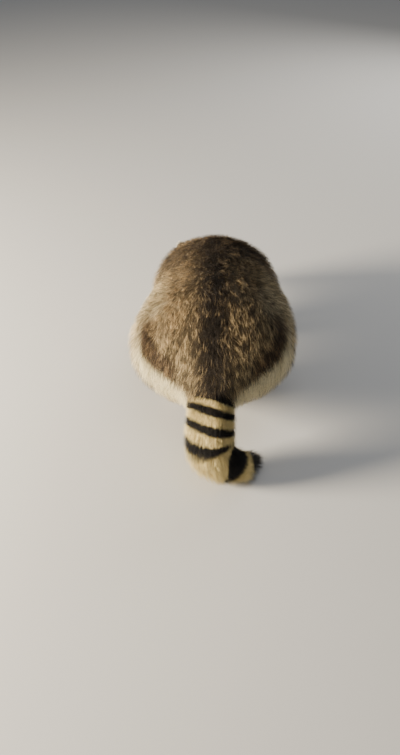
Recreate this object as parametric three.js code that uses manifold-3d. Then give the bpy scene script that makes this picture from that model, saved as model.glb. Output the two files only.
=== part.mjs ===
// A life-size raccoon in full coat, walking with its head down, its belly just off the ground and
// its tail hanging behind and curling to its right where it meets the ground.
// Millimetres, +Z up. The animal faces -Y, its left side is +X, and its soles are at Z = 0.
//
// The flesh and coat are one blended form, built up from rounded masses. It is turned into closed
// meshes region by region, fine at the paws and muzzle and coarse on the trunk, and thin cuts part
// it where the animal's own parts meet. Claws, ears, eyes and nose are solids of their own, let
// into sockets.

import * as THREE from 'three';
import { mergeVertices } from 'three/addons/utils/BufferGeometryUtils.js';
import Module from 'manifold-3d';

const wasm = await Module();
wasm.setup();

// ---------------------------------------------------------------------------------------------
// Driving dimensions

const SIDES = { left: 1, right: -1 };

const TRUNK = { length: 430, girth: 342, back: 294, clearance: 46 };
const HEAD = { length: 152, width: 172, yaw: 12, pitch: 30, at: [20, -290, 117] };
const TAIL = {
  girth: 104,
  bands: [11, 10, 12, 15, 14, 23, 18, 40, 28, 16, 26], // dark and pale by turns, from the rump
};
const FORELEG = { elbow: 40, wrist: 20, stance: 68, stride: 16, lean: -6, ankle: 25 };
const HINDLEG = { knee: 54, hock: 25, stance: 70, stride: 14, ankle: 27 };
const HAND = { digits: 5, spread: 74, width: 31, knuckles: -20, reach: 35, short: 0.2 };
const FOOT = { digits: 5, spread: 44, width: 33, knuckles: -30, reach: 29, short: 0.22 };
const CLAW = { length: 13, thick: 2.3, droop: 3, root: 4 };

const CUT = 0.4; // width of the thin cuts that part the body
const SOCKET = 0.35; // clearance around what is let into the flesh

const GRID = 0.05; // what corners are rounded to

// Size of the facets, region by region
const CELL = { skull: 16, muzzle: 9.3, neck: 24, leg: 25, paw: 9, trunk: 37 };

const radians = THREE.MathUtils.degToRad;
const vector = (p) => new THREE.Vector3(...p);

// ---------------------------------------------------------------------------------------------
// Colours and finishes

const finish = (color, roughness = 0.9, metalness = 0) =>
  new THREE.MeshStandardMaterial({ color, roughness, metalness });

const COAT = {
  grizzled: finish('#8a7458'),
  nape: finish('#5d5140'),
  face: finish('#a08d72'),
  muzzle: finish('#d8cfbc'),
  limb: finish('#6e5f4a'),
  paw: finish('#4a4036'),
  ear: finish('#b9ad98'),
  pale: finish('#cdb787'),
  dark: finish('#1f1c19'),
};
const LEATHER = finish('#141213', 0.45);
const HORN = finish('#3a332c', 0.4);
const EYE = finish('#0c0908', 0.08);

// ---------------------------------------------------------------------------------------------
// Rounded masses. Each is a signed distance in millimetres, below zero inside.

// An egg-shaped mass with three radii, turned by Euler angles in degrees.
function egg(centre, radii, turn = [0, 0, 0]) {
  const place = new THREE.Matrix4()
    .makeRotationFromEuler(new THREE.Euler(...turn.map(radians)))
    .setPosition(vector(centre))
    .invert();
  const local = new THREE.Vector3();
  const [rx, ry, rz] = radii;
  return (p) => {
    local.copy(p).applyMatrix4(place);
    const near = Math.hypot(local.x / rx, local.y / ry, local.z / rz);
    const slope = Math.hypot(local.x / rx ** 2, local.y / ry ** 2, local.z / rz ** 2);
    return slope > 0 ? (near * (near - 1)) / slope : -Math.min(rx, ry, rz);
  };
}

// A limb that tapers from one joint to the next.
function limb(from, to, fromRadius, toRadius) {
  const start = vector(from);
  const run = vector(to).sub(start);
  const length2 = run.lengthSq();
  const rel = new THREE.Vector3();
  return (p) => {
    const share = THREE.MathUtils.clamp(rel.copy(p).sub(start).dot(run) / length2, 0, 1);
    return rel.addScaledVector(run, -share).length()
      - THREE.MathUtils.lerp(fromRadius, toRadius, share);
  };
}

// The masses of a part that is modelled in a frame of its own, carried into the animal's frame.
function carried(frame, masses) {
  const back = frame.clone().invert();
  const local = new THREE.Vector3();
  return masses.map(({ mass, blend, hollow }) => ({
    mass: (p) => mass(local.copy(p).applyMatrix4(back)),
    blend,
    hollow,
  }));
}

const flesh = (blend, mass) => ({ mass, blend, hollow: false });
const hollow = (blend, mass) => ({ mass, blend, hollow: true });

// Masses joined one after another, each running into the rest over its blend distance.
function blended(masses) {
  return (p) => {
    let distance = Infinity;
    for (const { mass, blend, hollow: cutAway } of masses) {
      const own = mass(p);
      const near = cutAway ? -own : own;
      const sign = cutAway ? -1 : 1;
      if (distance === Infinity) {
        distance = near;
        continue;
      }
      const overlap = Math.max(blend - Math.abs(distance - near), 0);
      distance = sign * Math.min(sign * distance, sign * near)
        - sign * (overlap * overlap) / (4 * blend);
    }
    return distance;
  };
}

// ---------------------------------------------------------------------------------------------
// Trunk: a heavy pear seen from above, widest over the belly, with an arched back

const rumpY = 0.47 * TRUNK.length;
const chestY = rumpY - TRUNK.length;
const bellyY = 0.075 * TRUNK.length;

function trunkMasses() {
  const { girth, back, clearance } = TRUNK;
  const half = girth / 2;
  const depth = (back - clearance) / 2;
  const middle = clearance + depth;
  return [
    flesh(60, egg([-9, bellyY, middle - 10], [half - 1, 150, depth - 10])),
    flesh(80, egg([9, rumpY - 102, middle - 4], [half - 31, 102, depth - 14])),
    flesh(90, egg([-13, chestY + 124, middle - 10], [half - 50, 122, depth - 20])),
    flesh(90, limb([-4, bellyY + 10, back - 82], [-4, chestY + 90, back - 112], 76, 66)),
  ];
}

// ---------------------------------------------------------------------------------------------
// Head: modelled level and facing -Y about the middle of the skull, then set low

const headFrame = new THREE.Matrix4()
  .makeRotationFromEuler(new THREE.Euler(radians(HEAD.pitch), 0, radians(HEAD.yaw), 'ZYX'))
  .setPosition(vector(HEAD.at));
const inHead = (x, y, z) => new THREE.Vector3(x, y, z).applyMatrix4(headFrame);

const NOSE = { at: [0, -0.625 * HEAD.length, -11], radii: [9.5, 7.5, 7] };
const EYES = { apart: 50, forward: 46.5, up: 4.5, radius: 8.4 };
const EARS = { apart: 104, back: 20, up: 47, width: 46, height: 64, thick: 15, rim: 6, splay: 32 };
const STOP_Y = -42; // where the muzzle leaves the brow

function headMasses() {
  const ruff = HEAD.width / 2 - 26;
  const paired = Object.values(SIDES).flatMap((s) => [
    flesh(22, egg([s * 34, -6, -10], [29, 34, 26])),
    flesh(22, egg([s * ruff, 8, -20], [30, 26, 27], [0, s * 24, s * -12])),
    flesh(8, egg([s * 9.5, -0.53 * HEAD.length, -18.5], [11, 14, 9])),
    flesh(10, egg([s * 19, -34, 17], [17, 14, 8], [0, s * -14, 0])),
    flesh(20, egg([s * 47, 22, 32], [22, 14, 20], [0, s * 30, 0])),
    hollow(7, egg([s * (EYES.apart / 2 + 4), -EYES.forward - 7, EYES.up], [9, 9, 7.5])),
  ]);
  return [
    flesh(30, egg([0, 12, 5], [52, 50, 44])),
    flesh(24, egg([0, -20, 9], [38, 33, 26])),
    flesh(16, limb([0, -36, 4], [0, -0.54 * HEAD.length, -8], 19, 9.5)),
    flesh(14, limb([0, STOP_Y, -10], [0, -0.55 * HEAD.length, -16], 22, 12)),
    flesh(10, limb([0, STOP_Y, -22], [0, -0.51 * HEAD.length, -26], 15, 7.5)),
    flesh(30, limb([0, -16, -22], [0, 42, -20], 27, 46)),
    ...paired,
  ];
}

// ---------------------------------------------------------------------------------------------
// Neck: from between the shoulders down to the back of the skull

const withers = [2, chestY + 76, TRUNK.back - 140];

function neckMasses() {
  const skull = inHead(0, 26, -6).toArray();
  return [flesh(90, limb(withers, skull, 86, 56))];
}

// ---------------------------------------------------------------------------------------------
// Legs. The diagonal pairs are a short step apart.

const strideOf = (side, leg, fore) => (fore ? -side : side) * leg.stride;

function foreleg(side) {
  const step = strideOf(side, FORELEG, true);
  const { lean } = FORELEG;
  const x = side * FORELEG.stance + lean;
  const y = chestY + 74;
  return {
    shoulder: [side * 72 + lean, y + 20, 176],
    elbow: [side * 88 + lean, y + 34 + 0.4 * step, 106],
    wrist: [x, y - 6 + step, 36],
    palm: new THREE.Matrix4().makeRotationZ(radians(side * 6)).setPosition(x, y - 14 + step, 0),
  };
}

function hindleg(side) {
  const step = strideOf(side, HINDLEG, false);
  const x = side * HINDLEG.stance;
  const heel = rumpY - 134 + step;
  return {
    hip: [side * 82, rumpY - 100, 168],
    knee: [side * 116, rumpY - 176 + 0.6 * step, 104],
    hock: [x, heel - 4, 44],
    sole: new THREE.Matrix4().makeRotationZ(radians(side * 9)).setPosition(x, heel - 46, 0),
  };
}

// Where the digits of a paw start, end and how thick they are, in the paw's own frame.
function digitsOf({ digits, spread, width, knuckles, reach, short }) {
  return Array.from({ length: digits }, (_, n) => {
    const share = n / (digits - 1) - 0.5; // -0.5 at the inner digit, 0.5 at the outer
    const angle = radians(share * spread);
    const length = reach * (1 - short * (2 * share) ** 2);
    const start = [width * share, knuckles + 10 * Math.abs(share), 9];
    const end = [
      start[0] + length * Math.sin(angle),
      start[1] - length * Math.cos(angle),
      5.2,
    ];
    return { start, end, angle };
  });
}

const handDigits = digitsOf(HAND);
const footDigits = digitsOf(FOOT);
const DIGIT_RADII = [7, 5.4];

function forelegMasses(side) {
  const { shoulder, elbow, wrist, palm } = foreleg(side);
  const hand = [
    flesh(12, egg([0, -6, 11], [21, 24, 13])),
    ...handDigits.map(({ start, end }) => flesh(5, limb(start, end, ...DIGIT_RADII))),
  ];
  return [
    flesh(46, egg(shoulder, [52, 62, 72])),
    flesh(34, limb(shoulder, elbow, 50, FORELEG.elbow)),
    flesh(24, limb(elbow, wrist, FORELEG.elbow - 6, FORELEG.wrist)),
    ...carried(palm, hand),
  ];
}

function hindlegMasses(side) {
  const { hip, knee, hock, sole } = hindleg(side);
  const foot = [
    flesh(16, limb([0, 34, 17], [0, -14, 12], 17, 19)),
    flesh(10, egg([0, -20, 10], [22, 20, 12])),
    ...footDigits.map(({ start, end }) => flesh(5, limb(start, end, ...DIGIT_RADII))),
  ];
  return [
    flesh(44, egg(hip, [62, 78, 80], [-18, 0, 0])),
    flesh(36, limb(hip, knee, 66, HINDLEG.knee)),
    flesh(30, limb(knee, hock, HINDLEG.knee - 8, HINDLEG.hock)),
    ...carried(sole, foot),
  ];
}

// ---------------------------------------------------------------------------------------------
// Tail: out from the rump, over and down, then curling along the ground

const tailRun = new THREE.CatmullRomCurve3(
  [
    [0, rumpY - 46, 168],
    [0, rumpY - 2, 161],
    [3, rumpY + 34, 138],
    [5, rumpY + 60, 106],
    [4, rumpY + 77, 72],
    [-13, rumpY + 87, 45.5],
    [-42, rumpY + 86, 38],
    [-69, rumpY + 75, 29],
    [-88, rumpY + 63, 25],
  ].map(vector),
  false,
  'centripetal',
);
const TAIL_ROOT = 0.235; // share of the run that is inside the rump

// Slim at the root, full along the middle and rounded at the tip.
function tailRadius(share) {
  const full = TAIL.girth / 2;
  const root = THREE.MathUtils.lerp(0.84, 1, THREE.MathUtils.smoothstep(share, 0.1, 0.4));
  const taper = THREE.MathUtils.lerp(1, 0.62, THREE.MathUtils.smoothstep(share, 0.57, 0.95));
  const end = Math.sqrt(1 - 0.8 * THREE.MathUtils.smoothstep(share, 0.9, 1));
  return full * root * taper * end;
}

// The rump runs out into the root of the tail.
function tailRootMass() {
  const [start, end] = [0, TAIL_ROOT].map((t) => tailRun.getPointAt(t).toArray());
  return flesh(60, limb(start, end, tailRadius(0) + 14, tailRadius(TAIL_ROOT) - 3));
}

// ---------------------------------------------------------------------------------------------
// The whole animal, and the ground that flattens its soles

const animal = blended([
  ...trunkMasses(),
  ...Object.values(SIDES).flatMap((side) => [...forelegMasses(side), ...hindlegMasses(side)]),
  ...neckMasses(),
  ...carried(headFrame, headMasses()),
  tailRootMass(),
]);

// ---------------------------------------------------------------------------------------------
// From a distance to a closed mesh: one point for each grid cell that the surface passes through,
// moved onto the surface, and one quad round each grid edge that it crosses.

function meshOf(distance, low, high, cell) {
  const origin = vector(low);
  const cells = vector(high).sub(origin).divideScalar(cell).ceil();
  const size = [cells.x + 1, cells.y + 1, cells.z + 1];
  const at = (i, j, k) => i + size[0] * (j + size[1] * k);
  const edge = (i, n) => i === 0 || i === size[n] - 1;
  const p = new THREE.Vector3();

  // The outermost layer counts as outside, so the mesh is closed there by a wall.
  const value = new Float64Array(size[0] * size[1] * size[2]);
  const walled = new Uint8Array(value.length);
  for (let k = 0; k < size[2]; k++)
    for (let j = 0; j < size[1]; j++)
      for (let i = 0; i < size[0]; i++) {
        walled[at(i, j, k)] = edge(i, 0) || edge(j, 1) || edge(k, 2);
        value[at(i, j, k)] = walled[at(i, j, k)]
          ? cell
          : distance(p.set(i, j, k).multiplyScalar(cell).add(origin));
      }

  const corners = [0, 1].flatMap((c) => [0, 1].flatMap((b) => [0, 1].map((a) => [a, b, c])));
  const edges = corners.flatMap((from) =>
    [0, 1, 2]
      .filter((axis) => !from[axis])
      .map((axis) => [from, from.map((v, n) => (n === axis ? 1 : v))]),
  );

  const points = [];
  const pointOf = new Map();
  for (let k = 0; k < size[2] - 1; k++)
    for (let j = 0; j < size[1] - 1; j++)
      for (let i = 0; i < size[0] - 1; i++) {
        const middle = new THREE.Vector3();
        let crossings = 0;
        let atWall = false;
        for (const [a, b] of edges) {
          const ia = at(i + a[0], j + a[1], k + a[2]);
          const ib = at(i + b[0], j + b[1], k + b[2]);
          atWall ||= walled[ia] || walled[ib];
          if (value[ia] < 0 === value[ib] < 0) continue;
          const share = value[ia] / (value[ia] - value[ib]);
          middle.add(vector(a).lerp(vector(b), share));
          crossings++;
        }
        if (!crossings) continue;
        middle.divideScalar(crossings).add(vector([i, j, k])).multiplyScalar(cell).add(origin);
        if (!atWall) ontoSurface(distance, middle, 0.6 * cell);
        pointOf.set(at(i, j, k), points.length);
        points.push(middle);
      }

  const triangles = [];
  const quad = (around, outward) => {
    const q = around.map((cellIndex) => pointOf.get(cellIndex));
    const turned = outward ? q : q.reverse();
    const [w, x, y, z] = turned.map((n) => points[n]);
    const shortFirst = w.distanceToSquared(y) < x.distanceToSquared(z);
    const [e, f, g, h] = shortFirst ? turned : [...turned.slice(1), turned[0]];
    triangles.push(e, f, g, e, g, h);
  };
  for (let k = 0; k < size[2] - 1; k++)
    for (let j = 0; j < size[1] - 1; j++)
      for (let i = 0; i < size[0] - 1; i++) {
        const here = [i, j, k];
        const inside = value[at(i, j, k)] < 0;
        for (const axis of [0, 1, 2]) {
          const [u, v] = [(axis + 1) % 3, (axis + 2) % 3];
          if (!here[u] || !here[v]) continue;
          const stepped = (steps) => at(...here.map((c, n) => c + (steps[n] ?? 0)));
          if (value[stepped({ [axis]: 1 })] < 0 === inside) continue;
          quad([{ [u]: -1, [v]: -1 }, { [v]: -1 }, {}, { [u]: -1 }].map(stepped), inside);
        }
      }
  return solidOf(points.flatMap((q) => q.toArray()), triangles);
}

// Moves a point along the slope of the distance until it lies on the surface.
function ontoSurface(distance, point, furthest) {
  const start = point.clone();
  const probe = new THREE.Vector3();
  const reach = 0.4;
  for (let n = 0; n < 3; n++) {
    const here = distance(point);
    const slope = new THREE.Vector3();
    for (const axis of ['x', 'y', 'z']) {
      probe.copy(point)[axis] += reach;
      const ahead = distance(probe);
      probe.copy(point)[axis] -= reach;
      slope[axis] = (ahead - distance(probe)) / (2 * reach);
    }
    point.addScaledVector(slope, -here / Math.max(slope.lengthSq(), 0.2));
  }
  const move = point.clone().sub(start);
  if (move.length() > furthest) point.copy(start).addScaledVector(move.normalize(), furthest);
}

// ---------------------------------------------------------------------------------------------
// Solids that can be cut and joined, and the way back to meshes

function solidOf(positions, triangles) {
  return new wasm.Manifold(new wasm.Mesh({
    numProp: 3,
    vertProperties: new Float32Array(positions),
    triVerts: new Uint32Array(triangles),
  }));
}

function solidFrom(geometry) {
  const bare = new THREE.BufferGeometry()
    .setAttribute('position', geometry.getAttribute('position'))
    .setIndex(geometry.index);
  const merged = mergeVertices(bare, 1e-3);
  return solidOf(merged.attributes.position.array, merged.index.array);
}

// Corners are rounded to a fine grid, and the slivers that this flattens are left out.
function meshFrom(name, solid, material) {
  const { vertProperties, triVerts } = solid.getMesh();
  const rounded = vertProperties.map((v) => Math.round(v / GRID) * GRID);
  const geometry = mergeVertices(
    new THREE.BufferGeometry()
      .setAttribute('position', new THREE.BufferAttribute(rounded, 3))
      .setIndex(new THREE.BufferAttribute(triVerts, 1)),
    GRID / 10,
  );
  const corners = geometry.index.array;
  const kept = [];
  for (let n = 0; n < corners.length; n += 3) {
    const [a, b, c] = corners.slice(n, n + 3);
    if (a !== b && b !== c && c !== a) kept.push(a, b, c);
  }
  const mesh = new THREE.Mesh(geometry.setIndex(kept), material);
  mesh.name = name;
  return mesh;
}

// What lies on the side of a plane that its normal points to, short of it by half a cut.
function beyond(solid, point, normal, gap = CUT / 2) {
  const n = normal.clone().normalize();
  return solid.trimByPlane(n.toArray(), n.dot(point) + gap);
}

const onGround = (solid) => solid.trimByPlane([0, 0, 1], 0);

// The largest of a solid's bodies, without the crumbs that a cut can leave.
function largest(solid) {
  return solid.decompose().reduce((a, b) => (a.volume() > b.volume() ? a : b));
}

// ---------------------------------------------------------------------------------------------
// The parts

const group = new THREE.Group();
const add = (name, solid, material) => group.add(meshFrom(name, largest(solid), material));

// A ball shaped to three radii and turned, for eyes, nose, ears and the edges of the haunches.
function ball(frame, centre, radii, turn = [0, 0, 0], rings = 8) {
  const geometry = new THREE.SphereGeometry(1, 2 * rings, rings)
    .scale(...radii)
    .applyMatrix4(new THREE.Matrix4().makeRotationFromEuler(new THREE.Euler(...turn.map(radians))))
    .translate(...centre)
    .applyMatrix4(frame);
  return solidFrom(geometry);
}
const level = new THREE.Matrix4();
const grown = (radii, by) => radii.map((r) => r + by);

// Planes between head, neck and trunk
const headBack = { point: inHead(0, 40, 0), normal: inHead(0, -1, 0.12).sub(inHead(0, 0, 0)) };
const neckBack = {
  point: vector([6, chestY + 22, 150]),
  normal: new THREE.Vector3(0.08, -1, 0.1),
};
const stop = { point: inHead(0, STOP_Y - 14, 0), normal: inHead(0, -1, 0).sub(inHead(0, 0, 0)) };

// Eyes and nose
const pieces = [];
for (const [side, s] of Object.entries(SIDES)) {
  const at = [s * (EYES.apart / 2 - 2.5), 1 - EYES.forward, EYES.up];
  const radii = [EYES.radius, EYES.radius, EYES.radius];
  pieces.push({ name: `eye_${side}`, material: EYE, at, radii, rings: 5 });
}
pieces.push({ name: 'nose', material: LEATHER, ...NOSE, rings: 6 });

const faceSockets = [];
for (const { name, material, at, radii, rings } of pieces) {
  add(name, ball(headFrame, at, radii, [0, 0, 0], rings), material);
  faceSockets.push(ball(headFrame, at, grown(radii, SOCKET), [0, 0, 0], rings));
}

// Ears: upright rounded cups, open to the front and a little outward
for (const [side, s] of Object.entries(SIDES)) {
  const at = [(s * EARS.apart) / 2, EARS.back, EARS.up];
  const mouth = [at[0] + s * 4, at[1] - 10, at[2] + 2];
  const turn = [-14, s * EARS.splay, s * 26];
  const radii = [EARS.width / 2, EARS.thick / 2 + 4, EARS.height / 2];
  const scoop = [radii[0] - EARS.rim, radii[1] - 1, radii[2] - EARS.rim - 1];
  const shell = ball(headFrame, at, radii, turn, 6);
  add(`ear_${side}`, shell.subtract(ball(headFrame, mouth, scoop, turn, 6)), COAT.ear);
  faceSockets.push(ball(headFrame, at, grown(radii, SOCKET), turn, 6));
}

// Head and muzzle
const span = (centre, half) => [centre.clone().subScalar(half), centre.clone().addScalar(half)]
  .map((v) => v.toArray());
const skullForm = meshOf(animal, ...span(inHead(0, -2, -8), 118), CELL.skull);
const muzzleForm = meshOf(animal, ...span(inHead(0, -76, -14), 48), CELL.muzzle);
const cutFrom = (solid, tools) => tools.reduce((left, tool) => left.subtract(tool), solid);

const forwardOfNeck = beyond(skullForm, headBack.point, headBack.normal);
add('head', cutFrom(beyond(forwardOfNeck, stop.point, stop.normal.clone().negate()), faceSockets),
  COAT.face);
add('muzzle', cutFrom(beyond(muzzleForm, stop.point, stop.normal), faceSockets), COAT.muzzle);

// Neck
const neckForm = meshOf(animal, [-140, chestY - 140, 10], [150, chestY + 60, 330], CELL.neck);
add('neck',
  beyond(beyond(neckForm, headBack.point, headBack.normal.clone().negate()),
    neckBack.point, neckBack.normal),
  COAT.nape);

// Legs, each with its paw and claws
function blockOf(low, high) {
  const sizes = vector(high).sub(vector(low));
  const middle = vector(high).add(vector(low)).multiplyScalar(0.5);
  return solidFrom(new THREE.BoxGeometry(...sizes.toArray()).translate(...middle.toArray()));
}

// A claw: a cone bent downwards along an arc, its root inside the digit.
function claw(frame, { end, angle }, wider) {
  const geometry = new THREE.ConeGeometry(CLAW.thick + wider, CLAW.length + wider, 6, 2);
  geometry.translate(0, CLAW.length / 2 - CLAW.root, 0);
  const place = geometry.attributes.position;
  for (let n = 0; n < place.count; n++) {
    const along = Math.max(place.getY(n), 0) / CLAW.length;
    place.setZ(n, place.getZ(n) - CLAW.droop * along ** 2);
  }
  geometry.rotateZ(Math.PI + angle).translate(end[0], end[1], end[2] + 1.2);
  return solidFrom(geometry.applyMatrix4(frame));
}

// The stretch of the body that belongs to a leg: an egg over its thigh or shoulder, and a block
// under that for the shank.
function legRegion({ middle, radii, turn, low, high }, grow) {
  const shank = blockOf(low.map((v) => v - grow), high.map((v) => v + grow));
  return ball(level, middle, grown(radii, grow), turn, 6).add(shank);
}
const across = (s, near, far) => (s > 0 ? [near, far] : [-far, -near]);

const trunkTools = [];
function addLeg({ name, side, frame, digits, region, ankle, legBox, pawBox }) {
  const legForm = onGround(meshOf(animal, ...legBox, CELL.leg));
  const pawForm = onGround(meshOf(animal, ...pawBox, CELL.paw));
  const up = new THREE.Vector3(0, 0, 1);
  const joint = new THREE.Vector3(0, 0, ankle);
  const clawSockets = digits.map((digit) => claw(frame, digit, SOCKET));
  add(`${name}_leg_${side}`, beyond(legForm.intersect(legRegion(region, 0)), joint, up),
    COAT.limb);
  add(`${name}_paw_${side}`, cutFrom(beyond(pawForm, joint, up.clone().negate()), clawSockets),
    COAT.paw);
  digits.forEach((digit, n) => add(`${name}_claw_${side}_${n + 1}`, claw(frame, digit, 0), HORN));
  trunkTools.push(legRegion(region, CUT));
}

for (const [side, s] of Object.entries(SIDES)) {
  const { palm, elbow } = foreleg(s);
  const hand = new THREE.Vector3().setFromMatrixPosition(palm);
  const [inner, outer] = across(s, 24, 118);
  const [near, far] = across(s, 20, 190);
  addLeg({
    name: 'fore',
    side,
    frame: palm,
    digits: handDigits,
    ankle: FORELEG.ankle,
    region: {
      middle: [elbow[0] + s * 24, elbow[1] - 6, 138],
      radii: [56, 56, 92],
      turn: [-8, s * 10, 0],
      low: [inner, hand.y - 60, -20],
      high: [outer, hand.y + 62, 58],
    },
    legBox: [[near, hand.y - 90, -14], [far, hand.y + 130, 260]],
    pawBox: [[hand.x - 48, hand.y - 74, -9], [hand.x + 48, hand.y + 40, 44]],
  });
}

for (const [side, s] of Object.entries(SIDES)) {
  const { sole, knee, hip } = hindleg(s);
  const foot = new THREE.Vector3().setFromMatrixPosition(sole);
  const [inner, outer] = across(s, 34, 128);
  const [near, far] = across(s, 20, 190);
  addLeg({
    name: 'hind',
    side,
    frame: sole,
    digits: footDigits,
    ankle: HINDLEG.ankle,
    region: {
      middle: [s * 128, (knee[1] + hip[1]) / 2 + 6, 128],
      radii: [56, 82, 92],
      turn: [-16, s * 10, 0],
      low: [inner, foot.y - 40, -20],
      high: [outer, foot.y + 80, 54],
    },
    legBox: [[near, foot.y - 90, -14], [far, foot.y + 160, 290]],
    pawBox: [[foot.x - 52, foot.y - 82, -9], [foot.x + 52, foot.y + 66, 48]],
  });
}

// Tail: one round length for each dark or pale band, with flat ends square to its run
const TAIL_SIDES = 13;
const TAIL_STEPS = 200; // along the whole run, for the directions of its rings
const RINGS = 3;
const isPale = (band) => band % 2 === 1;
const bandsBefore = (count) => TAIL.bands.slice(0, count).reduce((sum, one) => sum + one, 0);
const startOf = (band) =>
  THREE.MathUtils.lerp(TAIL_ROOT, 1, bandsBefore(band) / bandsBefore(TAIL.bands.length));
const tailFrames = tailRun.computeFrenetFrames(TAIL_STEPS);

function tailLength(from, to, shorter, wider) {
  const positions = [];
  const triangles = [];
  const vertex = (ring, n) => ring * TAIL_SIDES + (n % TAIL_SIDES);
  for (let ring = 0; ring < RINGS; ring++) {
    const last = ring === RINGS - 1;
    const share = THREE.MathUtils.lerp(from, to, ring / (RINGS - 1));
    const centre = tailRun.getPointAt(share);
    const frame = Math.round(share * TAIL_STEPS);
    const [across, up] = [tailFrames.normals[frame], tailFrames.binormals[frame]];
    const shift = ring === 0 ? shorter : last ? -shorter : 0;
    centre.addScaledVector(tailFrames.tangents[frame], shift);
    for (let n = 0; n < TAIL_SIDES; n++) {
      const angle = (2 * Math.PI * n) / TAIL_SIDES;
      positions.push(...centre.clone()
        .addScaledVector(across, (tailRadius(share) + wider) * Math.cos(angle))
        .addScaledVector(up, (tailRadius(share) + wider) * Math.sin(angle))
        .toArray());
      if (last) continue;
      triangles.push(
        vertex(ring, n), vertex(ring, n + 1), vertex(ring + 1, n + 1),
        vertex(ring, n), vertex(ring + 1, n + 1), vertex(ring + 1, n),
      );
    }
  }
  for (let n = 1; n < TAIL_SIDES - 1; n++) {
    const end = RINGS - 1;
    triangles.push(vertex(0, 0), vertex(0, n + 1), vertex(0, n));
    triangles.push(vertex(end, 0), vertex(end, n), vertex(end, n + 1));
  }
  return solidOf(positions, triangles);
}

for (let band = 0; band < TAIL.bands.length; band++) {
  const pale = isPale(band);
  const name = `tail_${String(band + 1).padStart(2, '0')}_${pale ? 'pale' : 'dark'}`;
  const length = tailLength(startOf(band), startOf(band + 1), CUT / 2, 0);
  const acrossTheBend = band > 1 ? [tailLength(startOf(band - 2), startOf(band - 1), 0, CUT)] : [];
  add(name, onGround(cutFrom(length, acrossTheBend)), pale ? COAT.pale : COAT.dark);
}
trunkTools.push(tailLength(startOf(0), startOf(2), -CUT, SOCKET));
trunkTools.push(tailLength(startOf(2), startOf(5), -CUT, SOCKET));

// Trunk
const trunkForm = meshOf(animal, [-200, chestY - 60, 10], [200, rumpY + 60, 340], CELL.trunk);
add('trunk',
  beyond(cutFrom(trunkForm, trunkTools), neckBack.point, neckBack.normal.clone().negate()),
  COAT.grizzled);

// The origin is the middle of the space it takes up, on the ground.
const box = new THREE.Box3().setFromObject(group);
const centre = box.getCenter(new THREE.Vector3());
group.position.set(-centre.x, -centre.y, -box.min.z);

export default group;
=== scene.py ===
import math

import bpy
import numpy as np
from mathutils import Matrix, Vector, kdtree, noise
from mathutils.bvhtree import BVHTree


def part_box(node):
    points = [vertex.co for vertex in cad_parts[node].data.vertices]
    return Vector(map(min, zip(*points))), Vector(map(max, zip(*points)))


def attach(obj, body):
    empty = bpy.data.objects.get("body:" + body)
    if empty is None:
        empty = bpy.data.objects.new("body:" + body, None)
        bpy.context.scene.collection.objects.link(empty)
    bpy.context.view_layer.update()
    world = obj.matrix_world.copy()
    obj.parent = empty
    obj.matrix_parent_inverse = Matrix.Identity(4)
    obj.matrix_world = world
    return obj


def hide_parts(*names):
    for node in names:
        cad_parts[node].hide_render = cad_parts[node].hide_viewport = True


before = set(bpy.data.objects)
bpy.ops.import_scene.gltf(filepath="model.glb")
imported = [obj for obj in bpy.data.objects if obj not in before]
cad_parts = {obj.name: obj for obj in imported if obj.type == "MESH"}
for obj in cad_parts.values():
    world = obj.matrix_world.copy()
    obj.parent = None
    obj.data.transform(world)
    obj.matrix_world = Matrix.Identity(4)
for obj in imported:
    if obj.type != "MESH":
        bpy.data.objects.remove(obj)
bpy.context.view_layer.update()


# ---------------------------------------------------------------- floor
# A pale matt studio floor under the mount. It is a sheet of painted board,
# far larger than the animal, and it is no part of the model.
FLOOR_SIDE = 60.0
FLOOR_TONE = (0.66, 0.65, 0.62, 1.0)
FLOOR_ROUGHNESS = 0.85
BOARD_GRAIN, BOARD_RELIEF = 220, 0.04


def new_finish(name):
    """Starts a material, and returns it with its surface shader."""
    made = bpy.data.materials.new(name)
    made.use_nodes = True
    return made, made.node_tree.nodes["Principled BSDF"]


def feed(node, feeds):
    """Sets sockets of a node, each to a value or to what another node puts out."""
    for socket, value in feeds.items():
        if isinstance(value, bpy.types.NodeSocket):
            node.id_data.links.new(value, node.inputs[socket])
        else:
            node.inputs[socket].default_value = value


def add_node(surface, kind, output, feeds=None, **settings):
    """Adds a node beside a surface shader, and returns the output that is wanted of it."""
    node = surface.id_data.nodes.new("ShaderNode" + kind)
    for setting, value in settings.items():
        setattr(node, setting, value)
    feed(node, feeds or {})
    return node.outputs[output]


def pattern_on(surface, scale, place=None, kind="TexNoise", output="Fac", **feeds):
    """A pattern with so many grains to the metre, laid in the piece's own space unless told a place."""
    place = place or add_node(surface, "TexCoord", "Object")
    return add_node(surface, kind, output, {"Vector": place, "Scale": scale, **feeds})


bpy.ops.object.select_all(action="DESELECT")
bpy.ops.mesh.primitive_plane_add(size=FLOOR_SIDE, location=(0, 0, 0))
floor = bpy.context.object
floor.name = "floor"
floor_paint, board = new_finish("floor_paint")
relief = {"Height": pattern_on(board, BOARD_GRAIN), "Strength": BOARD_RELIEF}
relief = add_node(board, "Bump", "Normal", relief)
feed(board, {"Base Color": FLOOR_TONE, "Roughness": FLOOR_ROUGHNESS, "Normal": relief})
floor.data.materials.append(floor_paint)


# ------------------------------------------------------ light and camera
# A warm softbox stands low at the animal's left rear, with weak ones above
# and in front and a dim cool sky all round. The camera looks down on the
# back from behind.
SKY_TONE, SKY_STRENGTH = (0.78, 0.86, 1.0, 1), 0.19
world = bpy.data.worlds.new("studio")
bpy.context.scene.world = world
world.use_nodes = True
feed(world.node_tree.nodes["Background"], {"Color": SKY_TONE, "Strength": SKY_STRENGTH})


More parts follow.
